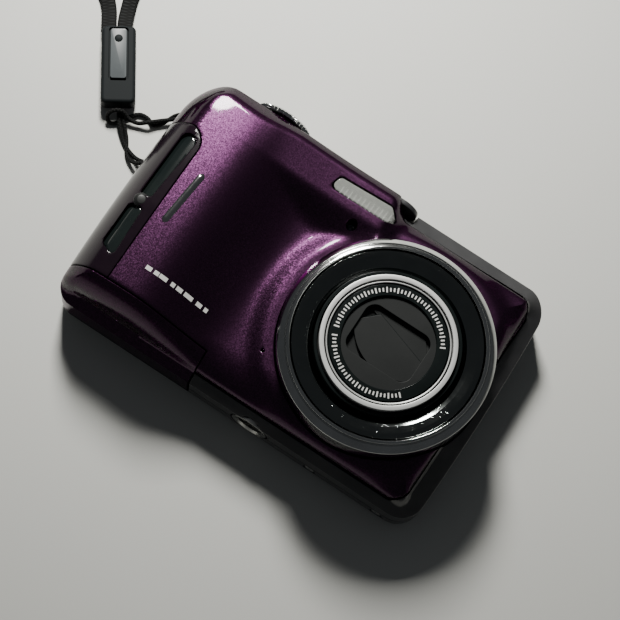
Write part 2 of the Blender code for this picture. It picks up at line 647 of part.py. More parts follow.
# ---------------------------------------------------------------- power
def make_battery_door():
    door = shell("battery_door", PURPLE)
    keep(door, door_zone("door_area", 0.0))
    for i, (x0, x1) in enumerate(((-44.0, -38.0), (-22.0, -16.0))):
        middle = (x0 + x1) / 2
        join(door, rod("door_knuckle_%d" % i, (middle, HINGE_Y, HINGE_Z), 1.3, x1 - x0, "X", GREY, 20))
    cut(door, rod("hinge_bore", (-30, HINGE_Y, HINGE_Z), 0.8, 34, "X", GREY, 16))
    rod("door_hinge_pin", (-30, HINGE_Y, HINGE_Z), 0.5, 32, "X", STEEL, 12)
    block("door_contact", (-43.5, -25.9, 7.4), (-17, -25.5, 14.4), STEEL)


def make_cells():
    for i, x in enumerate(CELL_X, 1):
        top = CELL_BASE_Y + CELL_LENGTH
        turned("battery_cell_%d" % i,
               [(0, top + 1.3), (2.6, top + 1.3), (2.6, top), (CELL_R - 0.5, top), (CELL_R, top - 0.5),
                (CELL_R, CELL_BASE_Y + 0.8), (CELL_R - 0.8, CELL_BASE_Y), (0, CELL_BASE_Y)],
               (x, 0, CELL_Z), "Y", CELL, 24)
        turns, wire, start = 2.0, 0.25, top + 1.3 + 0.5
        count = int(turns * 8)
        route = [(x + 2.0 * math.cos(2 * math.pi * turns * k / count), start + 1.2 * k / count,
                  CELL_Z + 2.0 * math.sin(2 * math.pi * turns * k / count)) for k in range(count + 1)]
        tube("contact_spring_%d" % i, route, wire, STEEL)
    block("contact_board", (-41.0, 28.1, 7.5), (-16, 28.5, 15.5), BOARD)


def make_fixings():
    turned("tripod_socket", [(3.8, 30.9), (4.6, 30.9), (4.6, 24.6), (3.2, 24.6), (3.2, 30.5)],
           (5.4, 0, 7.6), "-Y", STEEL, 24, closed=True)
    for name, (x, y, axis) in SCREWS.items():
        turned(name, [(0, -y), (1.3, -y - 0.1), (1.3, -y - 1.0), (0.7, -y - 1.0), (0.7, -y - 5.0), (0, -y - 5.0)],
               (x, 0, SCREW_Z), axis, STEEL, 12)


# ---------------------------------------------------------------- strap
CORD_ROUTE = [
    (-62.9, 17.3, 2.2), (-61.9, 15.7, 1.9), (-60.4, 13.9, 1.3), (-57.6, 11.4, 0.6), (-54.4, 9.9, 0.8),
    (-51.4, 9.4, 2.0), (-48.9, 10.2, 3.4), (-46.9, 12.4, 3.5), (-46.0, 15.0, 3.5), (-46.1, 18.2, 3.5),
    (-47.3, 21.0, 3.5), (-49.6, 22.6, 3.1), (-51.6, 21.9, 1.6), (-53.6, 20.2, 1.5), (-55.4, 18.4, 1.8),
    (-57.5, 17.0, 1.2), (-59.8, 16.6, 1.8), (-61.6, 16.9, 3.2), (-63.4, 15.9, 3.4), (-64.2, 14.4, 2.2),
    (-63.2, 13.5, 0.8), (-61.6, 14.6, 0.6), (-60.0, 17.4, 0.6), (-58.4, 19.3, 0.6), (-56.2, 19.6, 0.6),
    (-54.2, 18.9, 0.6), (-52.6, 20.4, 0.8), (-51.0, 23.2, 2.2), (-49.2, 23.8, 4.2), (-47.6, 22.2, 4.7),
    (-46.5, 19.4, 4.7), (-46.0, 16.4, 4.7), (-46.3, 13.6, 4.7), (-47.9, 11.0, 4.6), (-50.0, 8.9, 4.0),
    (-52.4, 8.2, 2.0), (-55.0, 9.0, 0.6), (-57.6, 12.6, 0.6), (-60.4, 15.4, 1.5), (-62.0, 16.8, 2.1)]
BAND_ROUTES = {"strap_band_a": ((-76.4, 33.1), (-81.3, 41.6)),
               "strap_band_b": ((-72.9, 35.6), (-77.6, 44.3))}


def lay_on_slider(obj, middle_along, height):
    """Place a piece modelled along +Y on the strap's slider."""
    obj.location = (SLIDER_FOOT + SLIDER_DIR * middle_along + Vector((0, 0, height))) * MM
    obj.rotation_euler = (0.0, 0.0, math.atan2(SLIDER_DIR.y, SLIDER_DIR.x) - math.pi / 2)
    return obj


def make_strap():
    slider = block("strap_slider", (-SLIDER_W / 2, -SLIDER_L / 2, -SLIDER_T / 2),
                   (SLIDER_W / 2, SLIDER_L / 2, SLIDER_T / 2), BLACK, 0.9)
    lay_on_slider(slider, SLIDER_L / 2 + 0.3, SLIDER_T / 2 + 0.1)
    plate = block("slider_plate", (-1.9, -6.3, -0.25), (1.9, 6.3, 0.25), SILVER, 0.15)
    lay_on_slider(plate, SLIDER_L - 7.0, SLIDER_T + 0.1 + 0.3 + 0.25)
    tube("strap_cord", smooth_route(CORD_ROUTE, 2.8), CORD_D / 2, CORD)
    for name, (start, end) in BAND_ROUTES.items():
        start, end = Vector(start), Vector(end)
        side = Vector((end.y - start.y, start.x - end.x)).normalized() * WEB_W / 2 * 0.86
        prism(name, [tuple(start - side), tuple(start + side), tuple(end + side), tuple(end - side)],
              0.2, 0.2 + WEB_T, CORD)
    turned("strap_coil", [(COIL_IN, COIL_T), (COIL_OUT, COIL_T), (COIL_OUT, 0.1), (COIL_IN, 0.1)],
           (*COIL_CENTRE, 0), "Z", CORD, 28, closed=True)


make_front_cover()
make_middle_frame()
make_rear_cover()
make_top_plate()
make_grip_inlay()
make_flash()
make_screen()
make_boards()
make_lens_housing()
make_barrels()
make_barrier()
make_top_controls()
make_back_controls()
make_battery_door()
make_cells()
make_fixings()
make_strap()
for piece in list(camera_parts.objects) + list(cutters.objects):
    piece.location += ORIGIN_SHIFT
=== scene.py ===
"""Looks for a compact digital camera with a wrist strap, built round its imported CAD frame."""
import math

import bmesh
import bpy
from mathutils import Matrix, Vector


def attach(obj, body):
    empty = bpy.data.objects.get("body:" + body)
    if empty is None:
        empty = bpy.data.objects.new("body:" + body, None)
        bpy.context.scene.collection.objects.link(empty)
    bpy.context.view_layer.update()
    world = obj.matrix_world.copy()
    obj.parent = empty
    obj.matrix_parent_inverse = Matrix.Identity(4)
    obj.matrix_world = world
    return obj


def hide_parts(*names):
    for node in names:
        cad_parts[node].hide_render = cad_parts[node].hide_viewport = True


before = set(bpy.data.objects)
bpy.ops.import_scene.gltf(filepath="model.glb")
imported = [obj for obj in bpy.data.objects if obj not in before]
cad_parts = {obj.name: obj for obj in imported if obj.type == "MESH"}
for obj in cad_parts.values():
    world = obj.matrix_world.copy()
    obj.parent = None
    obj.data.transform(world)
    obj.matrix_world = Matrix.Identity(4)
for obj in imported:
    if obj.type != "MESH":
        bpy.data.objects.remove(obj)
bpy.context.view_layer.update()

MM = 0.001
SHIFT_Y = -1.3  # the camera's outline is centred on the origin
HALF_W, HALF_H = 48.7, 30.9
BACK_Z, WALL, SPLIT_Z, PANEL_Z, GAP = 0.6, 1.5, 6.5, 9.3, 0.3
CREST_Z = 21.0
CORNER_R = (6.0, 9.5, 4.5, 5.5)
SIDE_BOW = 0.018
GRIP_X, GRIP_Z, VALLEY_Z, FLANGE_Z, HUMP_Z = -31.0, 26.0, 17.8, 20.8, 22.8
PANEL_RIGHT, PANEL_TOP, PANEL_BOTTOM, PANEL_STEP = 44.8, 26.9, -28.4, 8.7
LENS = (21.9, -1.9)
DOOR_RIGHT, DOOR_FRONT_Y, DOOR_Z = -11.2, -24.0, 3.9
HINGE_Y, HINGE_Z = -29.3, 5.45
LENS_RING_R = 24.5
AF_LAMP = (0.1, 18.2)
FLASH = (-0.6, 24.3)
DIAL_X, DIAL_Z = -26.8, 14.0
TOP_PLATE = (-37.0, -19.3, 11.0, -9.8)
TOP_BUTTONS, TOP_BUTTON_Z = {"power_button": (-8.0, 3.0), "flash_button": (3.0, 2.4)}, 14.5
SCREEN = (-15.5, -23.2, 46.0, 23.2)
PAD, ROCKER = (-32.0, -4.0), (-32.0, 24.0)
BACK_BUTTONS = {"delete_button": (-41.5, 9.0), "menu_button": (-22.5, 9.0), "info_button": (-22.5, -17.0),
    "review_button": (-41.5, -17.0), "share_button": (-32.0, -20.0)}
TRIPOD_X, TRIPOD_Z = 5.4, 7.6
SCREWS_X, SCREW_Z = (22.0, 40.0), 4.5
CELLS_X, CELL_Z = (-38.3, -23.6), 12.0
EDGE = 0.16  # softening of a cover's cut edges


def P(x, y, z):
    """A point in millimetres from the casing's middle, in the row frame."""
    return Vector((x, y + SHIFT_Y, z)) * MM


# ---- camera, lamp and world
FOCAL_MM = 113.2
CAMERA_AT = (0.0340, -0.1177, 0.4402)
LAMP_AT, LAMP_TARGET = Vector((-0.216, 0.287, 0.347)), Vector((-0.06, 0.10, 0))
LAMP_SIZE, LAMP_WATTS, LAMP_SPREAD = (0.09, 0.13), 1.15, 80.0


def in_scene(name, data):
    """A new object of the scene that holds some data."""
    obj = bpy.data.objects.new(name, data)
    bpy.context.scene.collection.objects.link(obj)
    return obj


camera = in_scene("camera", bpy.data.cameras.new("camera"))
bpy.context.scene.camera = camera
camera.data.sensor_width = 36.0
camera.data.lens = FOCAL_MM
camera.data.clip_start = 0.01
right = Vector((0.8365, 0.5415, 0.0838))
down = Vector((0.5433, -0.7998, -0.2550))
ahead = Vector((-0.0710, 0.2589, -0.9633))
rows = [(r, -d, -a, at) for r, d, a, at in zip(right, down, ahead, CAMERA_AT)]
camera.matrix_world = Matrix(rows + [(0, 0, 0, 1)])

lamp = in_scene("lamp", bpy.data.lights.new("lamp", "AREA"))
lamp.data.shape = "RECTANGLE"
lamp.data.size, lamp.data.size_y = LAMP_SIZE
lamp.data.energy, lamp.data.spread = LAMP_WATTS, math.radians(LAMP_SPREAD)
lamp.data.color = (1.0, 0.985, 0.94)
lamp.location = LAMP_AT
lamp.rotation_euler = (LAMP_TARGET - LAMP_AT).to_track_quat("-Z", "Y").to_euler()

world = bpy.data.worlds.new("world")
bpy.context.scene.world = world
world.use_nodes = True
sky = world.node_tree.nodes["Background"].inputs
sky["Color"].default_value, sky["Strength"].default_value = (0.9, 0.95, 1.0, 1), 0.06


# ---- material helpers
class Nodes:
    """A short way to build one material's node tree."""

    def __init__(self, name):
        self.material = bpy.data.materials.new(name)
        self.material.use_nodes = True
        self.tree = self.material.node_tree
        self.shader = self.tree.nodes["Principled BSDF"]
        self.place = None

    def add(self, kind, inputs=None, **settings):
        node = self.tree.nodes.new(kind)
        for key, value in settings.items():
            setattr(node, key, value)
        for key, value in (inputs or {}).items():
            node.inputs[key].default_value = value
        return node

    def link(self, source, target):
        self.tree.links.new(source, target)

    def set(self, **values):
        for key, value in values.items():
            socket = self.shader.inputs[key.replace("_", " ")]
            socket.default_value = (*value, 1.0) if isinstance(value, tuple) and len(value) == 3 else value

    def where(self, squeeze=None):
        if self.place is None:
            self.place = self.add("ShaderNodeTexCoord")
        if squeeze is None:
            return self.place.outputs["Object"]
        mapping = self.add("ShaderNodeMapping", {"Scale": squeeze})
        self.link(self.place.outputs["Object"], mapping.inputs["Vector"])
        return mapping.outputs["Vector"]

    def noise(self, scale, detail=2.0, rough=0.5, squeeze=None):
        node = self.add("ShaderNodeTexNoise", {"Scale": scale, "Detail": detail, "Roughness": rough})
        self.link(self.where(squeeze), node.inputs["Vector"])
        return node.outputs["Fac"]

    def spread(self, source, low, high, from_low=0.0, from_high=1.0):
        node = self.add("ShaderNodeMapRange", {"From Min": from_low, "From Max": from_high, "To Min": low,
            "To Max": high})
        self.link(source, node.inputs["Value"])
        return node.outputs["Result"]

    def blend(self, factor, first, second):
        node = self.add("ShaderNodeMix", data_type="RGBA")
        self.link(factor, node.inputs[0])
        for socket, value in ((node.inputs[6], first), (node.inputs[7], second)):
            if isinstance(value, tuple):
                socket.default_value = (*value, 1.0)
            else:
                self.link(value, socket)
        return node.outputs[2]

    def math(self, kind, first, second):
        node = self.add("ShaderNodeMath", operation=kind)
        self.link(first, node.inputs[0])
        self.link(second, node.inputs[1])
        return node.outputs[0]

    def bump(self, height, distance, strength):
        node = self.add("ShaderNodeBump", {"Strength": strength, "Distance": distance})
        self.link(height, node.inputs["Height"])
        return node.outputs["Normal"]

    def to(self, source, socket):
        self.link(source, self.shader.inputs[socket])


def lacquer():
    """Dark violet metallic flake under a thick clear coat."""
    m = Nodes("purple_lacquer_fine")
    m.set(Metallic=1.0, Roughness=0.39, Specular_Tint=(0.30, 0.12, 0.28), Coat_Weight=0.55,
        Coat_Roughness=0.035, Coat_IOR=1.45)
    cells = m.add("ShaderNodeTexVoronoi", {"Scale": 5200.0})
    m.link(m.where(), cells.inputs["Vector"])
    separate = m.add("ShaderNodeSeparateColor")
    m.link(cells.outputs["Color"], separate.inputs[0])
    m.to(m.blend(separate.outputs[0], (0.026, 0.009, 0.024), (0.062, 0.022, 0.057)), "Base Color")
    # each flake leans its own way
    tilt = m.add("ShaderNodeVectorMath", {1: (0.5, 0.5, 0.5)}, operation="SUBTRACT")
    m.link(cells.outputs["Color"], tilt.inputs[0])
    small = m.add("ShaderNodeVectorMath", {"Scale": 0.15}, operation="SCALE")
    m.link(tilt.outputs[0], small.inputs[0])
    geometry = m.add("ShaderNodeNewGeometry")
    total = m.add("ShaderNodeVectorMath", operation="ADD")
    m.link(geometry.outputs["Normal"], total.inputs[0])
    m.link(small.outputs[0], total.inputs[1])
    unit = m.add("ShaderNodeVectorMath", operation="NORMALIZE")
    m.link(total.outputs[0], unit.inputs[0])
    m.to(unit.outputs[0], "Normal")
    m.to(m.bump(m.noise(260.0), 2e-5, 0.25), "Coat Normal")
    return m.material


def moulded(name, dark, light, rough=0.42, grain=2600.0, depth=2e-5, rub=0.12, gloss=0.5, coat=0.0):
    """Moulded plastic: a fine spark-eroded grain, and rubbed patches."""
    m = Nodes(name)
    m.set(IOR=1.5, Specular_IOR_Level=gloss, Coat_Weight=coat, Coat_Roughness=0.12)
    rubbed = m.noise(90.0, 4.0, 0.6)
    m.to(m.blend(m.spread(rubbed, 0.0, 1.0, 0.35, 0.7), dark, light), "Base Color")
    m.to(m.spread(rubbed, rough - rub / 2, rough + rub / 2, 0.3, 0.7), "Roughness")
    m.to(m.bump(m.noise(grain, 3.0, 0.6), depth, 0.6), "Normal")
    return m.material


def metal(name, tint, rough, smudge, scratches, metallic=1.0):
    """Plated or polished metal with faint smudges and hairline scratches."""
    m = Nodes(name)
    m.set(Metallic=metallic)
    smears = m.noise(140.0, 5.0, 0.65)
    darker = tuple(0.78 * c for c in tint)
    m.to(m.blend(m.spread(smears, 0.0, 1.0, 0.35, 0.75), tint, darker), "Base Color")
    m.to(m.spread(smears, rough, rough + smudge, 0.35, 0.8), "Roughness")
    one = m.spread(m.noise(420.0, squeeze=(1.0, 9.0, 1.0)), 0, 1, 0.66, 0.70)
    two = m.spread(m.noise(380.0, squeeze=(8.0, 1.0, 1.0)), 0, 1, 0.67, 0.71)
    m.to(m.bump(m.math("MAXIMUM", one, two), 6e-6, scratches), "Normal")
    return m.material


def glass(name, tint, rough, alpha):
    """Clear or smoked glass over whatever lies behind it."""
    m = Nodes(name)
    m.set(Roughness=rough, IOR=1.5, Alpha=alpha, Coat_Weight=1.0, Coat_Roughness=0.02)
    m.to(m.blend(m.noise(500.0), tint, tuple(0.7 * c for c in tint)), "Base Color")
    m.to(m.bump(m.noise(700.0), 4e-6, 0.3), "Normal")
    return m.material


def woven(name, dark, light, along, across):
    """Woven or plaited black polyester, patterned along the piece's own length."""
    m = Nodes(name)
    m.set(Roughness=0.70, Specular_IOR_Level=0.08, Sheen_Weight=0.02, Sheen_Roughness=0.4)
    uv = m.add("ShaderNodeTexCoord").outputs["UV"]
    waves = []
    for angle in (0.62, -0.62):
        turn = m.add("ShaderNodeMapping", {"Scale": (along, across, 1.0), "Rotation": (0.0, 0.0, angle)})
        m.link(uv, turn.inputs["Vector"])
        wave = m.add("ShaderNodeTexWave", {"Scale": 1.0, "Distortion": 0.6}, wave_type="BANDS",
            bands_direction="X")
        m.link(turn.outputs["Vector"], wave.inputs["Vector"])
        waves.append(wave.outputs["Fac"])
    weave = m.math("MULTIPLY", waves[0], waves[1])
    m.to(m.blend(m.spread(weave, 0.0, 1.0, 0.05, 0.7), dark, light), "Base Color")
    m.to(m.bump(weave, 1.2e-4, 0.8), "Normal")
    return m.material


def table_top():
    m = Nodes("table_top")
    m.set(Roughness=0.55)
    m.to(m.blend(m.noise(6.0, 5.0, 0.6), (0.56, 0.565, 0.535), (0.62, 0.625, 0.60)), "Base Color")
    m.to(m.bump(m.noise(1500.0, 3.0), 1e-5, 0.3), "Normal")
    return m.material


LACQUER = lacquer()
CASE = moulded("grey_case_plastic", (0.030, 0.030, 0.032), (0.045, 0.045, 0.047), 0.36, 3200.0, 1.2e-5, 0.10,
    coat=0.25)
BUTTON = moulded("button_plastic", (0.050, 0.050, 0.053), (0.075, 0.075, 0.08), 0.32, 3500.0, 8e-6)
BLACK = moulded("black_satin_plastic", (0.010, 0.011, 0.011), (0.018, 0.019, 0.019), 0.36, 3000.0, 8e-6, 0.12,
    0.3)
PRINTED = moulded("black_front_ring", (0.006, 0.008, 0.008), (0.010, 0.013, 0.013), 0.22, 3000.0, 4e-6, 0.05,
    0.12)
BLADE = moulded("blackened_blades", (0.010, 0.0115, 0.0115), (0.013, 0.0145, 0.0145), 0.50, 2400.0, 1e-5,
    0.06, 0.2)
CHROME = metal("polished_chrome", (0.62, 0.63, 0.62), 0.07, 0.10, 0.35)
SMOKED = metal("smoked_chrome", (0.19, 0.205, 0.20), 0.05, 0.10, 0.8)
SATIN = metal("satin_silver", (0.74, 0.75, 0.74), 0.34, 0.12, 0.2, 0.55)
STEEL = metal("plated_steel", (0.50, 0.50, 0.48), 0.25, 0.12, 0.4)
BOARD = moulded("circuit_board", (0.008, 0.05, 0.02), (0.015, 0.09, 0.035), 0.35)
CELL = metal("cell_jacket", (0.30, 0.31, 0.34), 0.3, 0.1, 0.2)
CLEAR = glass("clear_window", (0.80, 0.83, 0.78), 0.05, 0.32)
LENS_GLASS = glass("coated_glass", (0.02, 0.03, 0.05), 0.02, 0.75)
SCREEN_COVER = moulded("screen_cover", (0.006, 0.006, 0.007), (0.009, 0.009, 0.010), 0.06, 900.0, 2e-6, 0.03,
    coat=1.0)
INLAY = moulded("grip_inlay_gloss", (0.006, 0.009, 0.009), (0.010, 0.014, 0.013), 0.10, 900.0, 3e-6, 0.04,
    coat=1.0)
GLOSS_SIDE = moulded("side_piece_gloss", (0.007, 0.004, 0.007), (0.011, 0.006, 0.010), 0.16, 900.0, 3e-6,
    0.05, 0.16)
MATT = moulded("matt_black_plastic", (0.010, 0.012, 0.013), (0.014, 0.017, 0.018), 0.6, 2800.0, 6e-6, 0.08,
    0.08)
DULL = moulded("dull_grey_clip", (0.075, 0.085, 0.09), (0.095, 0.105, 0.11), 0.4, 2400.0, 4e-6, 0.1, 0.35)
WHITE = moulded("white_print", (0.62, 0.62, 0.60), (0.70, 0.70, 0.68), 0.5)
CORD = woven("plaited_cord", (0.004, 0.004, 0.004), (0.018, 0.019, 0.019), 520.0, 1.62)
TABLE = table_top()
WEBBING = woven("woven_band", (0.004, 0.004, 0.004), (0.016, 0.017, 0.017), 450.0, 5.41)


# ---- mesh helpers
def raw(name, bm):
    """An object from a bmesh in metres, its faces outward."""
    bmesh.ops.recalc_face_normals(bm, faces=bm.faces)
    mesh = bpy.data.meshes.new(name)
    bm.to_mesh(mesh)
    bm.free()
    return in_scene(name, mesh)


def place(name, bm, material, angle=35.0):
    """An object from a bmesh, with its material, smooth where its faces meet gently."""
    obj = raw(name, bm)
    obj.data.shade_smooth()
    obj.data.set_sharp_from_angle(angle=math.radians(angle))
    obj.data.materials.append(material)
    return obj


def show(obj, body, slot=None, *nodes):
    """Let an object ride on a body and stand for CAD nodes, which it hides; its slot is not used."""
    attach(obj, body)
    if nodes:
        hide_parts(*nodes)
    return obj


def rounded(corners, steps=8):
    """A closed outline whose (x, y, radius) corners become arcs."""
    outline = []
    for i, (x, y, radius) in enumerate(corners):
        here = Vector((x, y))
        before = Vector(corners[i - 1][:2]) - here
        after = Vector(corners[(i + 1) % len(corners)][:2]) - here
        if radius <= 0:
            outline.append((x, y))
            continue
        half = before.angle(after) / 2
        run = radius / math.tan(half)
        start, end = here + before.normalized() * run, here + after.normalized() * run
        centre = here + (before.normalized() + after.normalized()).normalized() * radius / math.sin(half)
        for step in range(steps + 1):
            spoke = (start - centre).normalized().slerp((end - centre).normalized(), step / steps)
            outline.append(tuple(centre + spoke * radius))
    return outline


def rectangle(x0, y0, x1, y1, radius, steps=8):
    return rounded([(x0, y0, radius), (x1, y0, radius), (x1, y1, radius), (x0, y1, radius)], steps)


def oblong(half_w, half_h, radius, steps=8, at=(0.0, 0.0)):
    """A rounded rectangle round a point, from its half sizes."""
    return rectangle(at[0] - half_w, at[1] - half_h, at[0] + half_w, at[1] + half_h, radius, steps)


def grown(corners, grow):
    """The two corners of a rectangle, pushed outward."""
    return corners[0] - grow, corners[1] - grow, corners[2] + grow, corners[3] + grow


# turns of a piece modelled along +Z
ALONG = {"Z": Matrix.Identity(4), "Y": Matrix.Rotation(-math.pi / 2, 4, "X"),
    "X": Matrix.Rotation(math.pi / 2, 4, "Y"), "-Y": Matrix.Rotation(math.pi / 2, 4, "X")}


def lathe_mesh(profile, steps):
    """A closed (radius, height) outline spun round Z, in millimetres."""
    bm = bmesh.new()
    angles = [2 * math.pi * k / steps for k in range(steps)]
    rings = []
    for radius, height in profile:
        reach, z = radius * MM, height * MM
        if radius < 1e-6:
            rings.append([bm.verts.new((0, 0, z))])
        else:
            rings.append([bm.verts.new((reach * math.cos(a), reach * math.sin(a), z)) for a in angles])
    for low, high in zip(rings, rings[1:] + rings[:1]):
        if len(low) == 1 and len(high) == 1:
            continue
        for k in range(steps):
            n = (k + 1) % steps
            if len(low) == 1:
                bm.faces.new((low[0], high[k], high[n]))
            elif len(high) == 1:
                bm.faces.new((low[k], low[n], high[0]))
            else:
                bm.faces.new((low[k], low[n], high[n], high[k]))
    return bm


def moved(bm, axis="Z", at=(0, 0, 0)):
    """A mesh modelled along +Z, laid along an axis and put at a point."""
    bmesh.ops.transform(bm, matrix=Matrix.Translation(P(*at)) @ ALONG[axis], verts=bm.verts)
    return bm


def corners_of(profile):
    """Profile corners as (radius, height, rounding), where the rounding may be left out."""
    return [(p[0], p[1], p[2] if len(p) > 2 else 0.0) for p in profile]


def lathe(name, profile, centre, material, steps, axis="Z", angle=35.0):
    """A turned piece."""
    bm = lathe_mesh(rounded(corners_of(profile), 4), steps)
    return place(name, moved(bm, axis, centre), material, angle)


def turned(name, body, slot, profile, centre, material, steps, axis="Z", angle=35.0):
    """A turned piece that stands for the CAD node of its name."""
    return show(lathe(name + "_fine", profile, centre, material, steps, axis, angle), body, slot, name)


def prism_mesh(outline, low, high):
    """An outline in millimetres drawn up between two heights."""
    bm = bmesh.new()
    floor = [bm.verts.new((x * MM, y * MM, low * MM)) for x, y in outline]
    roof = [bm.verts.new((x * MM, y * MM, high * MM)) for x, y in outline]
    bm.faces.new(list(reversed(floor)))
    bm.faces.new(roof)
    for i in range(len(outline)):
        j = (i + 1) % len(outline)
        bm.faces.new((floor[i], floor[j], roof[j], roof[i]))
    bmesh.ops.recalc_face_normals(bm, faces=bm.faces)
    return bm


def bevel_sharp(bm, width, segments=3, angle=50.0):
    edges = [e for e in bm.edges if len(e.link_faces) == 2 and e.calc_face_angle(0.0) > math.radians(angle)]
    bmesh.ops.bevel(bm, geom=edges, offset=width * MM, segments=segments, profile=0.5, affect="EDGES",
        clamp_overlap=False, miter_outer="ARC")


def combine(target, tool, operation):
    """Give an object the result of one boolean with a tool, which stays."""
    modifier = target.modifiers.new("combine", "BOOLEAN")
    modifier.operation, modifier.solver, modifier.object = operation, "MANIFOLD", tool
    bpy.context.view_layer.update()
    made = bpy.data.meshes.new_from_object(target.evaluated_get(bpy.context.evaluated_depsgraph_get()))
    target.modifiers.clear()
    target.data = made
    return target


def cut(target, *tools, operation="DIFFERENCE"):
    """Cut tools from an object one by one; the tools go."""
    for tool in tools:
        combine(target, tool, operation)
        bpy.data.objects.remove(tool)


def keep(target, tool):
    cut(target, tool, operation="INTERSECT")


def join(target, tool):
    cut(target, tool, operation="UNION")


def block(name, outline, low, high, axis="Z", at=(0, 0, 0)):
    """A straight piece with this outline, from one height to another."""
    return raw(name, moved(prism_mesh(outline, low, high), axis, at))


def cutter(*form, **way):
    return block("cutter", *form, **way)


def box(low, high):
    """A tool from one corner to the opposite one."""
    (x0, y0, z0), (x1, y1, z1) = low, high
    return cutter([(x0, y0), (x1, y0), (x1, y1), (x0, y1)], z0, z1)


def disc(radius, sides=96):
    angles = [2 * math.pi * k / sides for k in range(sides)]
    return [(radius * math.cos(a), radius * math.sin(a)) for a in angles]


def rod(centre, radius, length, axis="Z", sides=64):
    return cutter(disc(radius, sides), -length / 2, length / 2, axis, centre)


# ---- the casing's form
def ease(low, high, value):
    t = min(max((value - low) / (high - low), 0.0), 1.0)
    return t * t * (3 - 2 * t)


def soft_max(a, b, softness=1.2):
    return 0.5 * (a + b + math.sqrt((a - b) ** 2 + softness ** 2))


def ground(x, y):
    """Height of the front before its edges are rounded off."""
    crown = GRIP_Z + 0.3 - 0.0015 * (y + 4.0) ** 2
    if x > GRIP_X:
        grip = VALLEY_Z + (crown - VALLEY_Z) * (1 - ease(GRIP_X, -7.0, x))
    else:
        grip = crown - 1.4 * ease(GRIP_X, -48.0, x)
    reach = math.hypot(x - LENS[0], y - LENS[1])
    flange = VALLEY_Z - 0.6 + (FLANGE_Z - VALLEY_Z) * (1 - ease(26.5, 33.0, reach))
    ridge = HUMP_Z - VALLEY_Z + 1.3 * (1 - ease(-32.0, -4.0, x))
    ridge *= ease(-37.0, -26.0, x) * (1 - ease(6.0, 11.5, x))
    hump = VALLEY_Z + ridge * ease(12.0, 21.0, y)
    return soft_max(soft_max(grip, flange), hump) - 0.4


OUTLINE_STEPS = (80, 46, 80, 46)
ARC_STEPS = 14


def outline_ring(inset):
    """The outline moved in, as (point, outward normal) pairs."""
    corners = [(HALF_W, HALF_H, 0), (-HALF_W, HALF_H, 90), (-HALF_W, -HALF_H, 180), (HALF_W, -HALF_H, 270)]
    ring = []
    for (x, y, start), radius, steps in zip(corners, CORNER_R, OUTLINE_STEPS):
        centre = Vector((x - math.copysign(radius, x), y - math.copysign(radius, y)))
        arc = max(radius - inset, 0.5)
        pull = max(inset - radius + 0.5, 0.0)
        centre -= Vector((math.copysign(pull, x), math.copysign(pull, y)))
        for step in range(ARC_STEPS + 1):
            angle = math.radians(start + 90 * step / ARC_STEPS)
            normal = Vector((math.cos(angle), math.sin(angle)))
            ring.append((centre + normal * arc, normal, steps if step == ARC_STEPS else 0))
    filled = []
    for i, (spot, normal, steps) in enumerate(ring):
        filled.append((spot, normal))
        after = ring[(i + 1) % len(ring)][0]
        for step in range(1, steps):
            filled.append((spot.lerp(after, step / steps), normal))
    return [(Vector((p.x * (1 - SIDE_BOW * (p.y / HALF_H) ** 2), p.y)), n) for p, n in filled]


def front_height(spot, normal, inset):
    """Height of the front skin at a distance in from the outline."""
    top = max(normal.y, 0.0) ** 2
    left = max(-normal.x, 0.0) ** 2
    bottom = max(-normal.y, 0.0) ** 2
    right_side = max(normal.x, 0.0) ** 2
    plain_top = top * ease(5.0, 10.0, spot.x)
    slanted = top - plain_top
    crown = ground(spot.x, 26.0)
    crest = min(CREST_Z, crown - 2.4)
    chamfer = 2.4 * bottom + 3.9 * right_side + 3.6 * plain_top
    edge = 11.8 + 2.2 * top + 1.0 * left + (crest - 14.0) * slanted
    rise = 0.9 * min(inset, chamfer) * (1 - 0.25 * (right_side + plain_top))
    under = bottom * (3.0 * ease(-16.0, -8.0, spot.x) - 2.0)
    width = 7.5 + under - 2.2 * plain_top - 2.5 * right_side + ((crown - crest) / 0.8 - 7.5) * slanted
    share = min(max((inset - chamfer) / width, 0.0), 1.0)
    start = edge + rise
    full = math.sqrt(1 - (1 - share) ** 2)
    flat = 1 - (1 - share) ** 1.5
    return start + (ground(spot.x, spot.y) - start) * (full + (flat - full) * (slanted + 0.5 * left))


def casing_form(skin):
    """Closed form of the whole casing, every face moved in by skin."""
    bm = bmesh.new()
    loops = []

    def ring(points, heights):
        spots = [(p.x * MM, (p.y + SHIFT_Y) * MM, z * MM) for (p, n), z in zip(points, heights)]
        loops.append([bm.verts.new(spot) for spot in spots])

    for step in range(7):
        turn = math.pi / 2 * step / 6
        points = outline_ring(3.0 * (1 - math.sin(turn)) + skin)
        ring(points, [BACK_Z + skin + 2.7 * (1 - math.cos(turn))] * len(points))
    insets = [0.0, 0.2, 0.5, 0.85, 1.2, 1.6, 2.0, 2.4, 2.8, 3.2, 3.6, 3.9, 4.2]
    insets += [4.7 + 0.5 * k for k in range(14)]
    for inset in insets:
        points = outline_ring(inset + skin)
        ring(points, [front_height(p, n, inset) - skin * (1.0 if inset else 0.5) for p, n in points])
    last = outline_ring(insets[-1] + skin)
    for k in range(1, 28):
        points = [(p * (1 - 0.035 * k), n) for p, n in last]
        ring(points, [front_height(p, n, 14.0) - skin for p, n in points])
    for lower, upper in zip(loops, loops[1:]):
        for i in range(len(lower)):
            j = (i + 1) % len(lower)
            bm.faces.new((lower[i], lower[j], upper[j], upper[i]))
    bm.faces.new(list(reversed(loops[0])))
    crown = bm.verts.new((0.0, SHIFT_Y * MM, (ground(0.0, 0.0) - skin) * MM))
    tip = loops[-1]
    for i in range(len(tip)):
        bm.faces.new((tip[i], tip[(i + 1) % len(tip)], crown))
    return bm


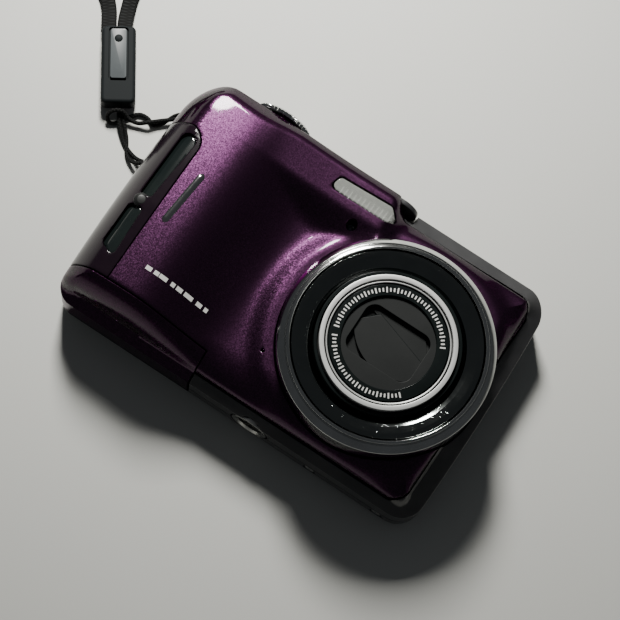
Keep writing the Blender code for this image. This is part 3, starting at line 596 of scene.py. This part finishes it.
OUTER = raw("outer_form", casing_form(0.0))
INNER = raw("inner_form", casing_form(WALL))


def shell(name):
    """A copy of the whole casing's hollow wall, to be cut to one cover."""
    return combine(in_scene(name, OUTER.data.copy()), INNER, "DIFFERENCE")


def finish(obj, material, width, body, slot=None, *nodes):
    """Soften an object's cut edges, give it its material and show it."""
    bm = bmesh.new()
    bm.from_mesh(obj.data)
    bmesh.ops.remove_doubles(bm, verts=bm.verts, dist=4e-6)
    bmesh.ops.dissolve_degenerate(bm, edges=bm.edges, dist=4e-6)
    if width:
        bevel_sharp(bm, width, 2, 52.0)
    bm.to_mesh(obj.data)
    bm.free()
    obj.data.shade_smooth()
    obj.data.set_sharp_from_angle(angle=math.radians(42.0))
    obj.data.materials.clear()
    obj.data.materials.append(material)
    even = obj.modifiers.new("even", "WEIGHTED_NORMAL")  # keeps flat faces flat
    even.keep_sharp = True
    return show(obj, body, slot, *nodes)


def panel_outline(grow):
    return rounded([(-70, PANEL_BOTTOM - grow, 0), (PANEL_RIGHT - 1.4 + grow, PANEL_BOTTOM - grow, 4.0),
        (PANEL_RIGHT + grow, PANEL_TOP + 0.6 + grow, 4.5), (PANEL_STEP + grow, PANEL_TOP + grow, 0.8),
        (PANEL_STEP + grow, 45, 0), (-70, 45, 0)], 12)


def panel_cutter(grow):
    return cutter(panel_outline(grow), PANEL_Z - grow, 60)


def door_cutter(grow):
    behind = DOOR_Z - (1.0 if grow else 0.0)
    return box((-70, -45, behind), (DOOR_RIGHT + grow, DOOR_FRONT_Y + grow, 60))


def plate_cutter():
    return cutter(rectangle(*grown(TOP_PLATE, GAP), 4.0 + GAP), 28.0, 40.0, "Y")


def lens_cutter():
    return rod((*LENS, 30), LENS_RING_R + GAP, 40, sides=160)


def tripod_cutter():
    return rod((TRIPOD_X, -30, TRIPOD_Z), 4.9, 8, "Y")


def side_outline(grow):
    """The glossy piece along the grip's outer side."""
    return rounded([(-60, -45, 0), (-37.7 + grow, -45, 0), (-37.7 + grow, 17.1 + grow, 5.2),
        (-60, 17.1 + grow, 0)], 12)


POCKETS = (rounded([(-40.2, -3.2, 1.0), (-38.9, 14.8, 2.0), (-42.9, 14.8, 1.7), (-43.1, -3.2, 1.0)], 8),
    rounded([(-39.6, -19.3, 1.0), (-40.2, -6.0, 1.0), (-43.8, -6.0, 1.2), (-43.9, -17.0, 2.2)], 8))


def flash_outline(grow):
    return rounded([(-8.7 - grow, 23.0 - grow, 1.2), (6.0, 23.0 - grow, 1.5), (8.3 + grow, 24.2, 0.9),
        (5.6 + grow, 26.7 + grow, 1.2), (-7.9 - grow, 26.1 + grow, 1.2)])


# ---- covers
def make_covers():
    cover = shell("front_cover_skin")
    keep(cover, panel_cutter(0.0))
    cut(cover, lens_cutter(), door_cutter(GAP), cutter(flash_outline(GAP), 12, 60),
        rod((*AF_LAMP, 20), 1.25, 20), tripod_cutter(), plate_cutter())
    side = in_scene("grip_side_piece", cover.data.copy())
    keep(side, cutter(side_outline(-0.06), 8, 60))
    cut(side, *(cutter(pocket, 14, 60) for pocket in POCKETS))
    finish(side, GLOSS_SIDE, 0.2, "casing", "purple_lacquer")
    cut(cover, cutter(side_outline(0.06), 8, 60), rod((-0.7, -17.2, 18), 0.45, 12, sides=24))
    finish(cover, LACQUER, EDGE, "casing", "purple_lacquer", "front_cover")

    middle = shell("middle_frame_skin")
    keep(middle, box((-70, -50, SPLIT_Z + GAP), (70, 50, 60)))
    cut(middle, panel_cutter(GAP), lens_cutter(), door_cutter(GAP), plate_cutter(), tripod_cutter(),
        box((44, 3.7, 7.7), (52, 11.7, 11.1)))
    finish(middle, CASE, EDGE, "casing", "grey_plastic", "middle_frame")

    rear = shell("rear_cover_skin")
    cut(rear, box((-70, -50, SPLIT_Z), (70, 50, 60)), door_cutter(GAP))
    x0, y0, x1, y1 = SCREEN
    join(rear, cutter(rectangle(x0 - 1.8, y0 - 1.8, x1 + 1.2, y1 + 1.8, 2.5), 0.0, 1.6))
    join(rear, cutter(rectangle(-45.5, 12.6, -37.0, 20.4, 2.5), 0.0, 1.6))
    cut(rear, cutter(rectangle(*grown(SCREEN, GAP), 1.5), -2, 4), rod((*PAD, 1), 8.9, 8), tripod_cutter(),
        cutter(oblong(6.8, 2.6, 2.5, at=ROCKER), -2, 4), box((-46.9, 10.0, 2.7), (-44.8, 23.2, 5.4)))
    cut(rear, *(rod((x, y, 1), 2.6, 8) for x, y in BACK_BUTTONS.values()))
    cut(rear, *(box((-52, low, 2.7), (-44.6, high, 5.6)) for low, high in ((9.0, 15.0), (17.6, 24.2))))
    cut(rear, *(rod((x, -30.9, SCREW_Z), 1.6, 8, "Y") for x in SCREWS_X))
    # a small ribbed thumb rest
    cut(rear, *(box((-44.6, 13.6 + 1.3 * row, -1), (-37.9, 14.1 + 1.3 * row, 0.3)) for row in range(5)))
    finish(rear, CASE, EDGE, "casing", "grey_plastic", "rear_cover")

    door = shell("battery_door_skin")
    keep(door, door_cutter(0.0))
    for x0, x1 in ((-44.0, -38.0), (-22.0, -16.0)):
        join(door, rod(((x0 + x1) / 2, HINGE_Y, HINGE_Z), 1.3, x1 - x0, "X", 40))
    cut(door, rod((-30, HINGE_Y, HINGE_Z), 0.8, 34, "X", 32))
    finish(door, LACQUER, EDGE, "door", "purple_lacquer", "battery_door")


def make_inlay_and_flash():
    for index, pocket in enumerate(POCKETS):
        inlay = raw("grip_inlay_%d" % (index + 1), casing_form(0.65))
        cut(inlay, raw("inlay_hollow", casing_form(2.2)))
        middle = Vector((sum(p[0] for p in pocket), sum(p[1] for p in pocket))) / len(pocket)
        inner = [middle + (Vector(p) - middle) * 0.985 for p in pocket]
        keep(inlay, cutter(inner, 14.9, 60))
        finish(inlay, INLAY, 0.2, "casing", "black_rubber", "grip_inlay")
    z = ground(-41.6, -4.6)
    bump = lathe("grip_bump", [(0, 0.75), (1.0, 0.68, 0.6), (1.75, 0.1, 0.3), (1.75, -1.2), (0, -1.2)],
        (-41.7, -4.6, z - 0.55), BLACK, 48, angle=60)
    show(bump, "casing", "black_plastic")

    window = raw("flash_window_skin", casing_form(0.25))
    keep(window, cutter(flash_outline(0.0), 19.4, 60))
    ribs = [-7.6 + 1.15 * k for k in range(13)]
    cut(window, *(box((x, 22.0, 19.0), (x + 0.35, 28.0, 20.6)) for x in ribs))
    finish(window, CLEAR, 0.08, "casing", "clear_plastic", "flash_window")
    trough = block("flash_reflector_fine", rectangle(-7.6, 22.4, 6.4, 26.2, 0.9), 14.0, 18.9)
    cut(trough, rod((*FLASH, 18.9), 1.6, 13, "X", 48), box((-7.0, 22.7, 18.2), (5.8, 25.9, 22)))
    finish(trough, CHROME, 0.1, "casing", "bright_chrome", "flash_reflector")
    turned("flash_tube", "casing", "lens_glass", [(0, 6.0), (0.7, 6.0, 0.3), (0.7, -6.0, 0.3), (0, -6.0)],
        (*FLASH, 18.0), LENS_GLASS, 24, "X")
    turned("af_lamp", "casing", "lens_glass", [(0, 18.95), (0.5, 18.9, 0.1), (0.92, 18.6, 0.1), (0.92, 15.2),
        (0, 15.2)], (*AF_LAMP, 0), LENS_GLASS, 32)


def around(centre, degrees, reach, axis="Z"):
    """Where a mark lies that is turned about a centre and moved out by its reach."""
    turn = Matrix.Rotation(math.radians(degrees), 4, axis)
    return Matrix.Translation(P(*centre)) @ turn @ Matrix.Translation((reach * MM, 0, 0))


def stroke(bm, where, size):
    """Add one short printed stroke."""
    verts = bmesh.ops.create_cube(bm, size=1.0)["verts"]
    bmesh.ops.transform(bm, verts=verts, matrix=where @ Matrix.Diagonal((*(side * MM for side in size), 1)))


BLADE_R, BLADE_LINE = 12.3, math.radians(-18.0)
# name, body, pivot from the lens's middle, opening turn, whether the line bounds it from below,
# bottom, top, the line's offset, material
BLADES = (("barrier_upper", "upper_blade", (-10.5, 6.1), 18.0, True, 25.25, 25.55, 2.5, BLADE),
    # the next entry is no real part: a thin dark strip of painted shade just beyond the lower blade's edge
    ("blade_split_shade", "lower_blade", (11.6, -1.1), 30.0, False, 25.62, 25.68, 3.27, PRINTED),
    ("barrier_lower", "lower_blade", (11.6, -1.1), 30.0, False, 25.7, 26.05, 3.1, BLADE))


def make_blades():
    """Two blades turn about their pins; a thin dark strip under the lower one is painted shade that draws the
    line between them.
    """
    x, y = LENS
    across = Vector((-math.sin(BLADE_LINE), math.cos(BLADE_LINE)))
    along = Vector((math.cos(BLADE_LINE), math.sin(BLADE_LINE)))
    for name, body, pivot, swing, above, low, high, offset, material in BLADES:
        plate = block(name + "_fine", disc(BLADE_R, 120), low, high, at=(x, y, 0))
        hub = Vector((x + pivot[0], y + pivot[1], 0.0))
        back = Matrix.Rotation(-math.radians(swing), 3, "Z") @ Vector((-pivot[0], -pivot[1], 0.0))
        keep(plate, rod((hub.x + back.x, hub.y + back.y, 25), BLADE_R, 10, sides=120))
        spot = Vector((x, y)) + across * offset
        side = (-across if above else across) * 30
        near, far = spot + along * 20, spot - along * 20
        cut(plate, cutter([near, far, far + side, near + side], 20, 30))
        if not above:  # its upper edge curves down near the left side
            out = offset - 3.1
            bite = rounded([(x - 4.6 - out, y + 5.0 + out, 1.6), (x - 4.6 - out, y + 12, 0),
                (x - 14, y + 12, 0), (x - 14, y - 3.5 + out, 0), (x - 9.6 - out, y + 0.2 + out, 3.0)][::-1],
                8)
            cut(plate, cutter(bite, 20, 30))
        if name.startswith("barrier"):
            join(plate, rod((hub.x, hub.y, (low + high) / 2), 0.45, high - low, sides=24))
            finish(plate, material, 0.1, body, "barrier_metal", name)
        else:
            # the dark strip of painted shade along the blades' split
            finish(plate, material, 0.0, body)


def make_lens():
    x, y = LENS
    centre = (x, y, 0)
    turned("lens_ring", "casing", "bright_chrome", [(24.5, 13.6), (24.5, 25.0, 0.3), (23.05, 26.45, 0.25),
        (22.85, 26.2, 0.05), (22.72, 26.2, 0.05), (22.6, 26.9, 0.12), (22.0, 27.1, 0.15), (21.75, 26.85, 0.1),
        (21.75, 23.6), (22.8, 23.0), (22.8, 13.6)], centre, CHROME, 192, angle=50)
    turned("lens_dish", "casing", "dark_chrome", [(21.42, 26.35, 0.12), (21.42, 24.6), (18.2, 23.6),
        (18.2, 8.7), (16.95, 8.7), (16.95, 25.05, 0.2), (17.35, 25.2, 0.15), (17.6, 25.62, 0.15),
        (18.6, 26.0, 1.2), (20.2, 26.3, 2.0)], centre, SMOKED, 192, angle=50)
    turned("barrel_outer", "outer_barrel", "black_plastic", [(15.8, 26.9, 0.1), (16.5, 26.9, 0.15),
        (16.6, 9.2), (15.75, 9.2)], centre, PRINTED, 160)
    turned("barrel_middle", "middle_barrel", "satin_silver", [(14.3, 28.0, 0.1), (15.4, 28.0, 0.12),
        (15.45, 9.6), (14.25, 9.6)], centre, SATIN, 160)
    inner = lathe("barrel_inner_fine", [(13.95, 27.55, 0.08), (13.95, 10.0), (12.9, 10.0), (12.9, 26.8),
        (13.62, 26.8), (13.62, 27.6, 0.05), (13.8, 27.7, 0.05)], centre, PRINTED, 160)
    inner.data.materials.append(SATIN)
    for face in inner.data.polygons:
        middle = face.center / MM
        if middle.z > 27.3 and math.hypot(middle.x - x, middle.y - SHIFT_Y - y) > 13.5:
            face.material_index = 1
    show(inner, "inner_barrel", "black_plastic", "barrel_inner")
    turned("front_bezel", "inner_barrel", "black_plastic", [(10.75, 27.45, 0.1), (13.25, 27.5, 0.08),
        (13.3, 27.15), (10.55, 27.15, 0.05)], centre, PRINTED, 160)

    marks = bmesh.new()  # a plain printed scale of short strokes
    for first, step, count in ((196.0, -4.0, 43), (206.0, 4.0, 28)):
        for k in range(count):
            length = 0.85 if k % 3 else 1.25
            stroke(marks, around((x, y, 27.475), first + step * k, 12.0), (length, 0.34, 0.06))
    show(place("printed_scale", marks, WHITE), "inner_barrel")

    window = raw("window_frame_fine", moved(lathe_mesh([(0, 26.1), (12.4, 26.1), (12.5, 26.2), (12.5, 26.7),
        (12.4, 26.8), (0, 26.8)], 128), at=centre))
    cut(window, cutter(oblong(8.3, 6.2, 2.6, 12, LENS), 20, 30))
    finish(window, BLADE, 0.14, "inner_barrel", "grey_plastic", "window_frame")
    turned("lens_group", "inner_barrel", "grey_plastic", [(12.5, 23.6), (12.5, 20.4), (11.2, 20.4),
        (11.2, 22.2), (5.5, 22.2), (3.8, 23.6)], centre, BLACK, 96)
    turned("front_lens", "inner_barrel", "lens_glass", [(0, 21.9), (1.6, 21.82), (3.0, 21.6), (4.2, 21.25),
        (5.1, 20.9), (5.1, 19.6), (0, 18.6)], centre, LENS_GLASS, 64, angle=60)

    show(lathe("blade_carrier", [(6.4, 24.6), (12.6, 24.6), (12.6, 25.05), (6.4, 25.05, 0.15)], centre, BLADE,
        96), "inner_barrel")
    make_blades()


STEPS_PER_TOOTH = 4


def knurled(name, profile, centre, material, axis, teeth, depth):
    """A turned piece whose widest edge carries fine teeth."""
    bm = lathe_mesh(rounded(corners_of(profile), 3), teeth * STEPS_PER_TOOTH)
    widest = max(p[0] for p in profile) * MM
    for v in bm.verts:
        reach = math.hypot(v.co.x, v.co.y)
        if reach > widest * 0.93:
            angle = math.atan2(v.co.y, v.co.x)
            share = min(1.0, (reach / widest - 0.93) / 0.05)
            cut_in = (0.5 - 0.5 * math.cos(angle * teeth)) * depth * MM * share
            v.co.x -= math.cos(angle) * cut_in
            v.co.y -= math.sin(angle) * cut_in
    return place(name, moved(bm, axis, centre), material, 40)


def make_top():
    plate = block("top_plate_fine", rectangle(*TOP_PLATE, 4.0, 12), 29.7, 30.9, "Y")
    cut(plate, rod((DIAL_X, 30, DIAL_Z), 4.7, 10, "Y", 64))
    for x, radius in TOP_BUTTONS.values():
        cut(plate, rod((x, 30, TOP_BUTTON_Z), radius + GAP, 10, "Y", 64))
    finish(plate, CASE, 0.3, "casing", "grey_plastic", "top_plate")
    show(knurled("mode_dial_fine", [(3.75, 33.0, 0.1), (6.7, 33.0, 0.15), (7.25, 32.6, 0.1),
        (7.25, 31.75, 0.1), (4.4, 31.7), (4.4, 29.0), (3.75, 29.0)], (DIAL_X, 0, DIAL_Z), CHROME, "Y", 44,
        0.28), "mode_dial", "bright_chrome", "mode_dial")
    ticks = bmesh.new()
    for k in range(7):
        stroke(ticks, around((DIAL_X, 33.0, DIAL_Z), -150 + 50 * k, 5.5, "Y"), (1.2, 0.05, 0.35))
    show(place("dial_marks", ticks, BLACK), "mode_dial")
    turned("shutter_button", "shutter_button", "satin_silver", [(0, 33.5), (1.6, 33.48, 0.4),
        (3.0, 33.2, 0.3), (3.3, 32.7, 0.15), (3.3, 29.6), (0, 29.6)], (DIAL_X, 0, DIAL_Z), SATIN, 64, "Y")
    for name, (x, radius) in TOP_BUTTONS.items():
        turned(name, name, "grey_plastic", [(0, 31.75), (radius - 0.7, 31.8, 0.4),
            (radius - 0.25, 31.95, 0.1), (radius, 31.6, 0.1), (radius, 29.3), (radius + 0.9, 29.3),
            (radius + 0.9, 28.8), (0, 28.8)], (x, 0, TOP_BUTTON_Z), BUTTON, 64, "Y")


def make_back():
    cover = prism_mesh(rectangle(*SCREEN, 1.2), 0.35, 1.5)
    bevel_sharp(cover, 0.2)
    show(place("lcd_window_fine", moved(cover), SCREEN_COVER), "casing", "screen_glass", "lcd_window")
    for name, (x, y) in BACK_BUTTONS.items():
        turned(name, name, "grey_plastic", [(0, 2.9), (3.1, 2.9), (3.1, 2.5), (2.3, 2.5), (2.3, 0.5, 0.2),
            (1.7, 0.28, 0.3), (0, 0.34)], (x, y, 0), BUTTON, 48)
    turned("four_way_pad", "four_way_pad", "grey_plastic", [(8.6, 2.62), (8.6, 0.6, 0.3), (7.6, 0.42, 0.8),
        (5.4, 0.75, 0.8), (4.1, 0.62, 0.15), (4.1, 3.1), (9.2, 3.1), (9.2, 2.62)], (*PAD, 0), BUTTON, 96)
    arrows = bmesh.new()
    for k in range(4):
        made = bmesh.ops.create_cone(arrows, cap_ends=True, segments=3, radius1=0.55 * MM, radius2=0.5 * MM,
            depth=0.1 * MM)
        bmesh.ops.transform(arrows, verts=made["verts"], matrix=around((*PAD, 0.68), 90 * k, 6.35))
    show(place("pad_arrows", arrows, WHITE), "four_way_pad")
    turned("ok_button", "ok_button", "satin_silver", [(0, 2.95), (3.7, 2.95, 0.1), (3.7, 0.5, 0.2),
        (3.1, 0.45, 0.4), (0, 0.6)], (*PAD, 0), SATIN, 64)
    x, y = ROCKER
    rocker = block("zoom_rocker_fine", oblong(6.4, 2.2, 2.1, 10, ROCKER), 0.45, 3.0)
    cut(rocker, rod((x, y, -11.2), 11.95, 8, "Y", 160))
    for side in (-1, 1):
        for k in range(3):
            rib = x + side * 4.2 + 0.8 * k
            cut(rocker, box((rib - 0.95, y - 1.3, 0), (rib - 0.65, y + 1.3, 0.62)))
    finish(rocker, BUTTON, 0.16, "zoom_rocker", "grey_plastic", "zoom_rocker")


def make_fixings():
    socket = [(3.8, 30.9, 0.1), (4.6, 30.9, 0.1), (4.6, 24.6), (3.2, 24.6)]
    for k in range(9):  # thread crests
        depth = 24.9 + 0.6 * k
        socket += [(3.25, depth), (3.45, depth + 0.15), (3.45, depth + 0.3), (3.25, depth + 0.45)]
    socket += [(3.25, 30.4)]
    turned("tripod_socket", "casing", "spring_steel", socket, (TRIPOD_X, 0, TRIPOD_Z), STEEL, 64, "-Y")
    for i, x in enumerate(SCREWS_X, 1):
        screw = raw("case_screw_%d_fine" % i, moved(lathe_mesh([(0, 30.8), (1.1, 30.8), (1.3, 30.6),
            (1.3, 29.9), (0.7, 29.9), (0.7, 25.9), (0, 25.9)], 40), "-Y", (x, 0, SCREW_Z)))
        for a, b in ((0.85, 0.16), (0.16, 0.85)):
            cut(screw, box((x - a, -32, SCREW_Z - b), (x + a, -30.2, SCREW_Z + b)))
        finish(screw, STEEL, 0.05, "casing", "spring_steel", "case_screw_%d" % i)
    usb = block("usb_socket_fine", rectangle(42.6, 4.0, 48.3, 11.4, 0.3), 8.0, 10.8)
    cut(usb, box((44.0, 4.5, 8.4), (50, 10.9, 10.4)))
    join(usb, box((43.8, 5.2, 9.2), (47.6, 10.2, 9.7)))
    finish(usb, STEEL, 0.12, "casing", "spring_steel", "usb_socket")
    for i, x in enumerate(CELLS_X, 1):
        cell = lathe("battery_cell_%d_fine" % i, [(0, 26.0), (2.6, 26.0, 0.3), (2.6, 24.7, 0.1),
            (6.75, 24.7, 0.4), (7.25, 24.1, 0.3), (7.25, -23.6, 0.4), (6.4, -24.5, 0.3), (4.5, -24.5),
            (4.2, -24.3), (0, -24.3)], (x, 0, CELL_Z), CELL, 64, "Y")
        cell.data.materials.append(BLACK)
        for face in cell.data.polygons:
            middle = face.center.y / MM - SHIFT_Y
            on_side = face.area > 1e-8 and len(face.vertices) == 4 and abs(face.normal.y) < 0.2
            if on_side and -17.0 < middle < 24.3:
                face.material_index = 1
        show(cell, "casing", "cell_jacket", "battery_cell_%d" % i)


# ---- strap
def catmull(points, spacing):
    """Points about one spacing apart (mm) on a smooth curve through a route."""
    points = [Vector(p) for p in points]
    ends = [2 * points[0] - points[1]] + points + [2 * points[-1] - points[-2]]
    dense = []
    for a, b, c, d in zip(ends, ends[1:], ends[2:], ends[3:]):
        for step in range(24):
            t = step / 24
            dense.append(0.5 * ((2 * b) + (c - a) * t + (2 * a - 5 * b + 4 * c - d) * t * t
                + (3 * b - a - 3 * c + d) * t ** 3))
    dense.append(points[-1])
    lengths = [0.0]
    for a, b in zip(dense, dense[1:]):
        lengths.append(lengths[-1] + (b - a).length)
    count = max(2, round(lengths[-1] / spacing))
    route, j = [], 0
    for i in range(count + 1):
        target = lengths[-1] * i / count
        while j < len(lengths) - 2 and lengths[j + 1] < target:
            j += 1
        span = lengths[j + 1] - lengths[j]
        route.append(dense[j].lerp(dense[j + 1], (target - lengths[j]) / span if span else 0.0))
    return route, lengths[-1]


def sweep(name, route, section, material, up=None):
    """Sweep a closed (side, up) section along points in mm, with its length as the texture's U."""
    bm = bmesh.new()
    uv = bm.loops.layers.uv.new("uv")
    rings, run = [], 0.0
    facing = Vector((0, 0, 1))
    for i, point in enumerate(route):
        along = (route[min(i + 1, len(route) - 1)] - route[max(i - 1, 0)]).normalized()
        facing = facing if up is None else up
        facing = (facing - along * facing.dot(along)).normalized()
        side = along.cross(facing)
        if i:
            run += (point - route[i - 1]).length
        rings.append((run, [bm.verts.new(P(*(point + side * a + facing * b))) for a, b in section]))
    count = len(section)
    for (run0, low), (run1, high) in zip(rings, rings[1:]):
        for k in range(count):
            n = (k + 1) % count
            face = bm.faces.new((low[k], low[n], high[n], high[k]))
            for loop, value in zip(face.loops, ((run0, k), (run0, k + 1), (run1, k + 1), (run1, k))):
                loop[uv].uv = (value[0] * MM, value[1] / count)
    bm.faces.new(list(reversed(rings[0][1])))
    bm.faces.new(rings[-1][1])
    return place(name, bm, material, 60)


SLIDER_FOOT = Vector((-63.3, 17.4, 0.0))
SLIDER_DIR = Vector((-0.553, 0.833, 0.0)).normalized()
CORD_ROUTE = [(-62.9, 17.3, 2.2), (-61.9, 15.7, 1.9), (-60.4, 13.9, 1.3), (-57.6, 11.4, 0.6),
    (-54.4, 9.9, 0.8), (-51.4, 9.4, 2.0), (-48.9, 10.2, 3.4), (-46.9, 12.4, 3.5), (-46.0, 15.0, 3.5),
    (-46.1, 18.2, 3.5), (-47.3, 21.0, 3.5), (-49.6, 22.6, 3.1), (-51.6, 21.9, 1.6), (-53.6, 20.2, 1.5),
    (-55.4, 18.4, 1.8), (-57.5, 17.0, 1.2), (-59.8, 16.6, 1.8), (-61.6, 16.9, 3.2), (-63.4, 15.9, 3.4),
    (-64.2, 14.4, 2.2), (-63.2, 13.5, 0.8), (-61.6, 14.6, 0.6), (-60.0, 17.4, 0.6), (-58.4, 19.3, 0.6),
    (-56.2, 19.6, 0.6), (-54.2, 18.9, 0.6), (-52.6, 20.4, 0.8), (-51.0, 23.2, 2.2), (-49.2, 23.8, 4.2),
    (-47.6, 22.2, 4.7), (-46.5, 19.4, 4.7), (-46.0, 16.4, 4.7), (-46.3, 13.6, 4.7), (-47.9, 11.0, 4.6),
    (-50.0, 8.9, 4.0), (-52.4, 8.2, 2.0), (-55.0, 9.0, 0.6), (-57.6, 12.6, 0.6), (-60.4, 15.4, 1.5),
    (-62.0, 16.8, 2.1)]
COIL_CENTRE = (-95.0, 63.9)


def make_strap():
    turn = Matrix.Rotation(math.atan2(SLIDER_DIR.y, SLIDER_DIR.x) - math.pi / 2, 4, "Z")

    def on_slider(bm, along, height):
        spot = SLIDER_FOOT + SLIDER_DIR * along
        bmesh.ops.transform(bm, matrix=Matrix.Translation(P(spot.x, spot.y, height)) @ turn, verts=bm.verts)
        return bm

    body = prism_mesh(oblong(4.1, 9.85, 1.3, 6), -2.3, 2.3)
    bevel_sharp(body, 0.9, 4)
    slider = raw("strap_slider_fine", on_slider(body, 10.15, 2.4))
    cut(slider, raw("slider_window", on_slider(prism_mesh(oblong(2.3, 6.8, 0.8, 6), -0.6, 1.0), 12.7, 4.7)))
    finish(slider, MATT, 0.12, "casing", "black_plastic", "strap_slider")
    plate = prism_mesh(oblong(1.9, 6.3, 0.6, 6), -0.25, 0.25)
    bevel_sharp(plate, 0.12, 2)
    clip = place("slider_plate_fine", on_slider(plate, 12.7, 4.75), DULL)
    show(clip, "casing", "satin_silver", "slider_plate")
    rivet = lathe_mesh([(0, 0.3), (0.5, 0.26), (0.85, 0.1), (1.05, -0.05), (1.05, -0.4), (0, -0.4)], 48)
    show(place("slider_rivet", on_slider(rivet, 16.5, 5.0), MATT), "casing")

    route, length = catmull(CORD_ROUTE, 0.55)
    cord = sweep("strap_cord_fine", route, disc(0.5, 12), CORD)
    show(cord, "casing", "black_cord", "strap_cord")

    make_webbing()


def make_webbing():
    """One band: out of the slider, about one and a half flat turns, and back beside itself."""
    middle = Vector((*COIL_CENTRE, 0.0))
    out = SLIDER_DIR
    left = Vector((-out.y, out.x, 0.0))
    base = math.degrees(math.atan2(-out.y, -out.x))  # from the coil's middle towards the slider

    def beside(along, across, height):
        spot = middle + out * along + left * across
        return (spot.x, spot.y, height)

    def on_turn(angle, radius, height):
        spot = middle + Vector((math.cos(math.radians(angle)), math.sin(math.radians(angle)), 0.0)) * radius
        return (spot.x, spot.y, height)

    low, over = 0.8, 2.1
    points = [beside(-36.9, 1.75, 2.1), beside(-34.0, 1.75, 1.5), beside(-30.5, 1.8, low),
        beside(-26.5, 2.7, low), beside(-22.0, 5.4, low), beside(-17.5, 9.7, low), beside(-12.5, 15.0, low),
        beside(-7.0, 20.1, low)]
    for wound in range(0, 541, 15):
        radius = 22.6 - 4.8 * ease(205.0, 330.0, wound)
        lift = ease(150.0, 205.0, wound) * (1 - ease(350.0, 395.0, wound))
        points.append(on_turn(base - 90.0 - wound, radius, low + (over - low) * lift))
    points += [beside(-6.0, -16.6, low), beside(-12.0, -13.0, low), beside(-17.5, -8.6, low),
        beside(-22.5, -5.6, low), beside(-27.0, -3.7, low), beside(-31.0, -2.7, low),
        beside(-34.0, -2.2, 1.5), beside(-36.9, -2.1, 2.1)]
    route, length = catmull(points, 0.8)
    section = oblong(1.85, 0.5, 0.42, 3)
    band = sweep("strap_webbing", route, section, WEBBING, up=Vector((0, 0, 1)))
    show(band, "casing", "black_cord", "strap_band_a", "strap_band_b", "strap_coil")


BADGE_Y, BADGE_LENGTH = -6.4, 14.3


def make_marks():
    """Plain raised and printed strokes where the real camera carries lettering."""
    route = [Vector((-34.6 + 1.2 * k / 24, BADGE_Y + BADGE_LENGTH * k / 24, 0.0)) for k in range(25)]
    for point in route:
        point.z = ground(point.x, point.y) + 0.02
    oval = [(0.85 * math.cos(2 * math.pi * k / 20), 0.34 * math.sin(2 * math.pi * k / 20)) for k in range(20)]
    bar = sweep("grip_badge", route, oval, CHROME, up=Vector((0.06, 0, 1)))
    for v in bar.data.vertices:  # rounded ends
        spot = v.co / MM - Vector((0, SHIFT_Y, 0))
        reach = max(BADGE_Y + 0.9 - spot.y, spot.y - 7.0, 0.0) / 0.9
        spine = route[0].lerp(route[-1], min(max((spot.y - BADGE_Y) / BADGE_LENGTH, 0.0), 1.0))
        spine.z = ground(spine.x, spine.y)
        swell = math.sqrt(max(1 - min(reach, 1.0) ** 2, 0.02))
        spot.x, spot.z = spine.x + (spot.x - spine.x) * swell, spine.z + (spot.z - spine.z) * swell
        v.co = (spot + Vector((0, SHIFT_Y, 0))) * MM
    show(bar, "casing", "bright_chrome")

    strokes = bmesh.new()
    for x, width in ((-31.2, 1.5), (-29.2, 1.2), (-27.4, 2.0), (-24.9, 1.0), (-23.2, 1.5), (-20.8, 2.2),
            (-18.0, 1.4), (-16.2, 0.9)):
        for v in bmesh.ops.create_grid(strokes, x_segments=6, y_segments=2, size=0.5)["verts"]:
            spot_x, spot_y = x + v.co.x * width, -16.9 + 0.02 * (x + 24) + v.co.y * 1.0
            v.co = P(spot_x, spot_y, ground(spot_x, spot_y) + 0.012)
    under = bmesh.ops.extrude_face_region(strokes, geom=strokes.faces[:], use_keep_orig=True)["geom"]
    for v in under:  # the print is a closed layer that reaches into the lacquer
        if isinstance(v, bmesh.types.BMVert):
            v.co.z -= 0.06 * MM
    # the extrusion's side faces come in a varying order
    strokes.faces.sort(key=lambda face: face.calc_center_median().dot((1, 9, 99)))
    show(place("front_print", strokes, WHITE), "casing")


def make_floor():
    top = raw("table_top", prism_mesh(rectangle(-1500, -1500, 1500, 1500, 200), -30, -0.02))
    top.data.materials.append(TABLE)


def dress_cad():
    """Give every CAD node that still shows its finish and softened edges."""
    finishes = {"lens_base": BLACK, "image_sensor": BLACK, "flash_capacitor": BLACK, "zoom_motor": STEEL,
        "door_hinge_pin": STEEL, "door_contact": STEEL, "contact_spring_1": STEEL, "contact_spring_2": STEEL,
        "main_board": BOARD, "button_board": BOARD, "contact_board": BOARD, "lcd_panel": SCREEN_COVER}
    for name, material in finishes.items():
        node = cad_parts[name]
        node.data.materials.clear()
        node.data.materials.append(material)
        if not name.startswith("contact_spring"):
            soften = node.modifiers.new("soften", "BEVEL")
            soften.width, soften.segments, soften.limit_method = 1.2e-4, 2, "ANGLE"


make_floor()
make_strap()
make_covers()
make_inlay_and_flash()
make_lens()
make_top()
make_back()
make_fixings()
make_marks()
dress_cad()
for form in (OUTER, INNER):
    bpy.data.objects.remove(form)
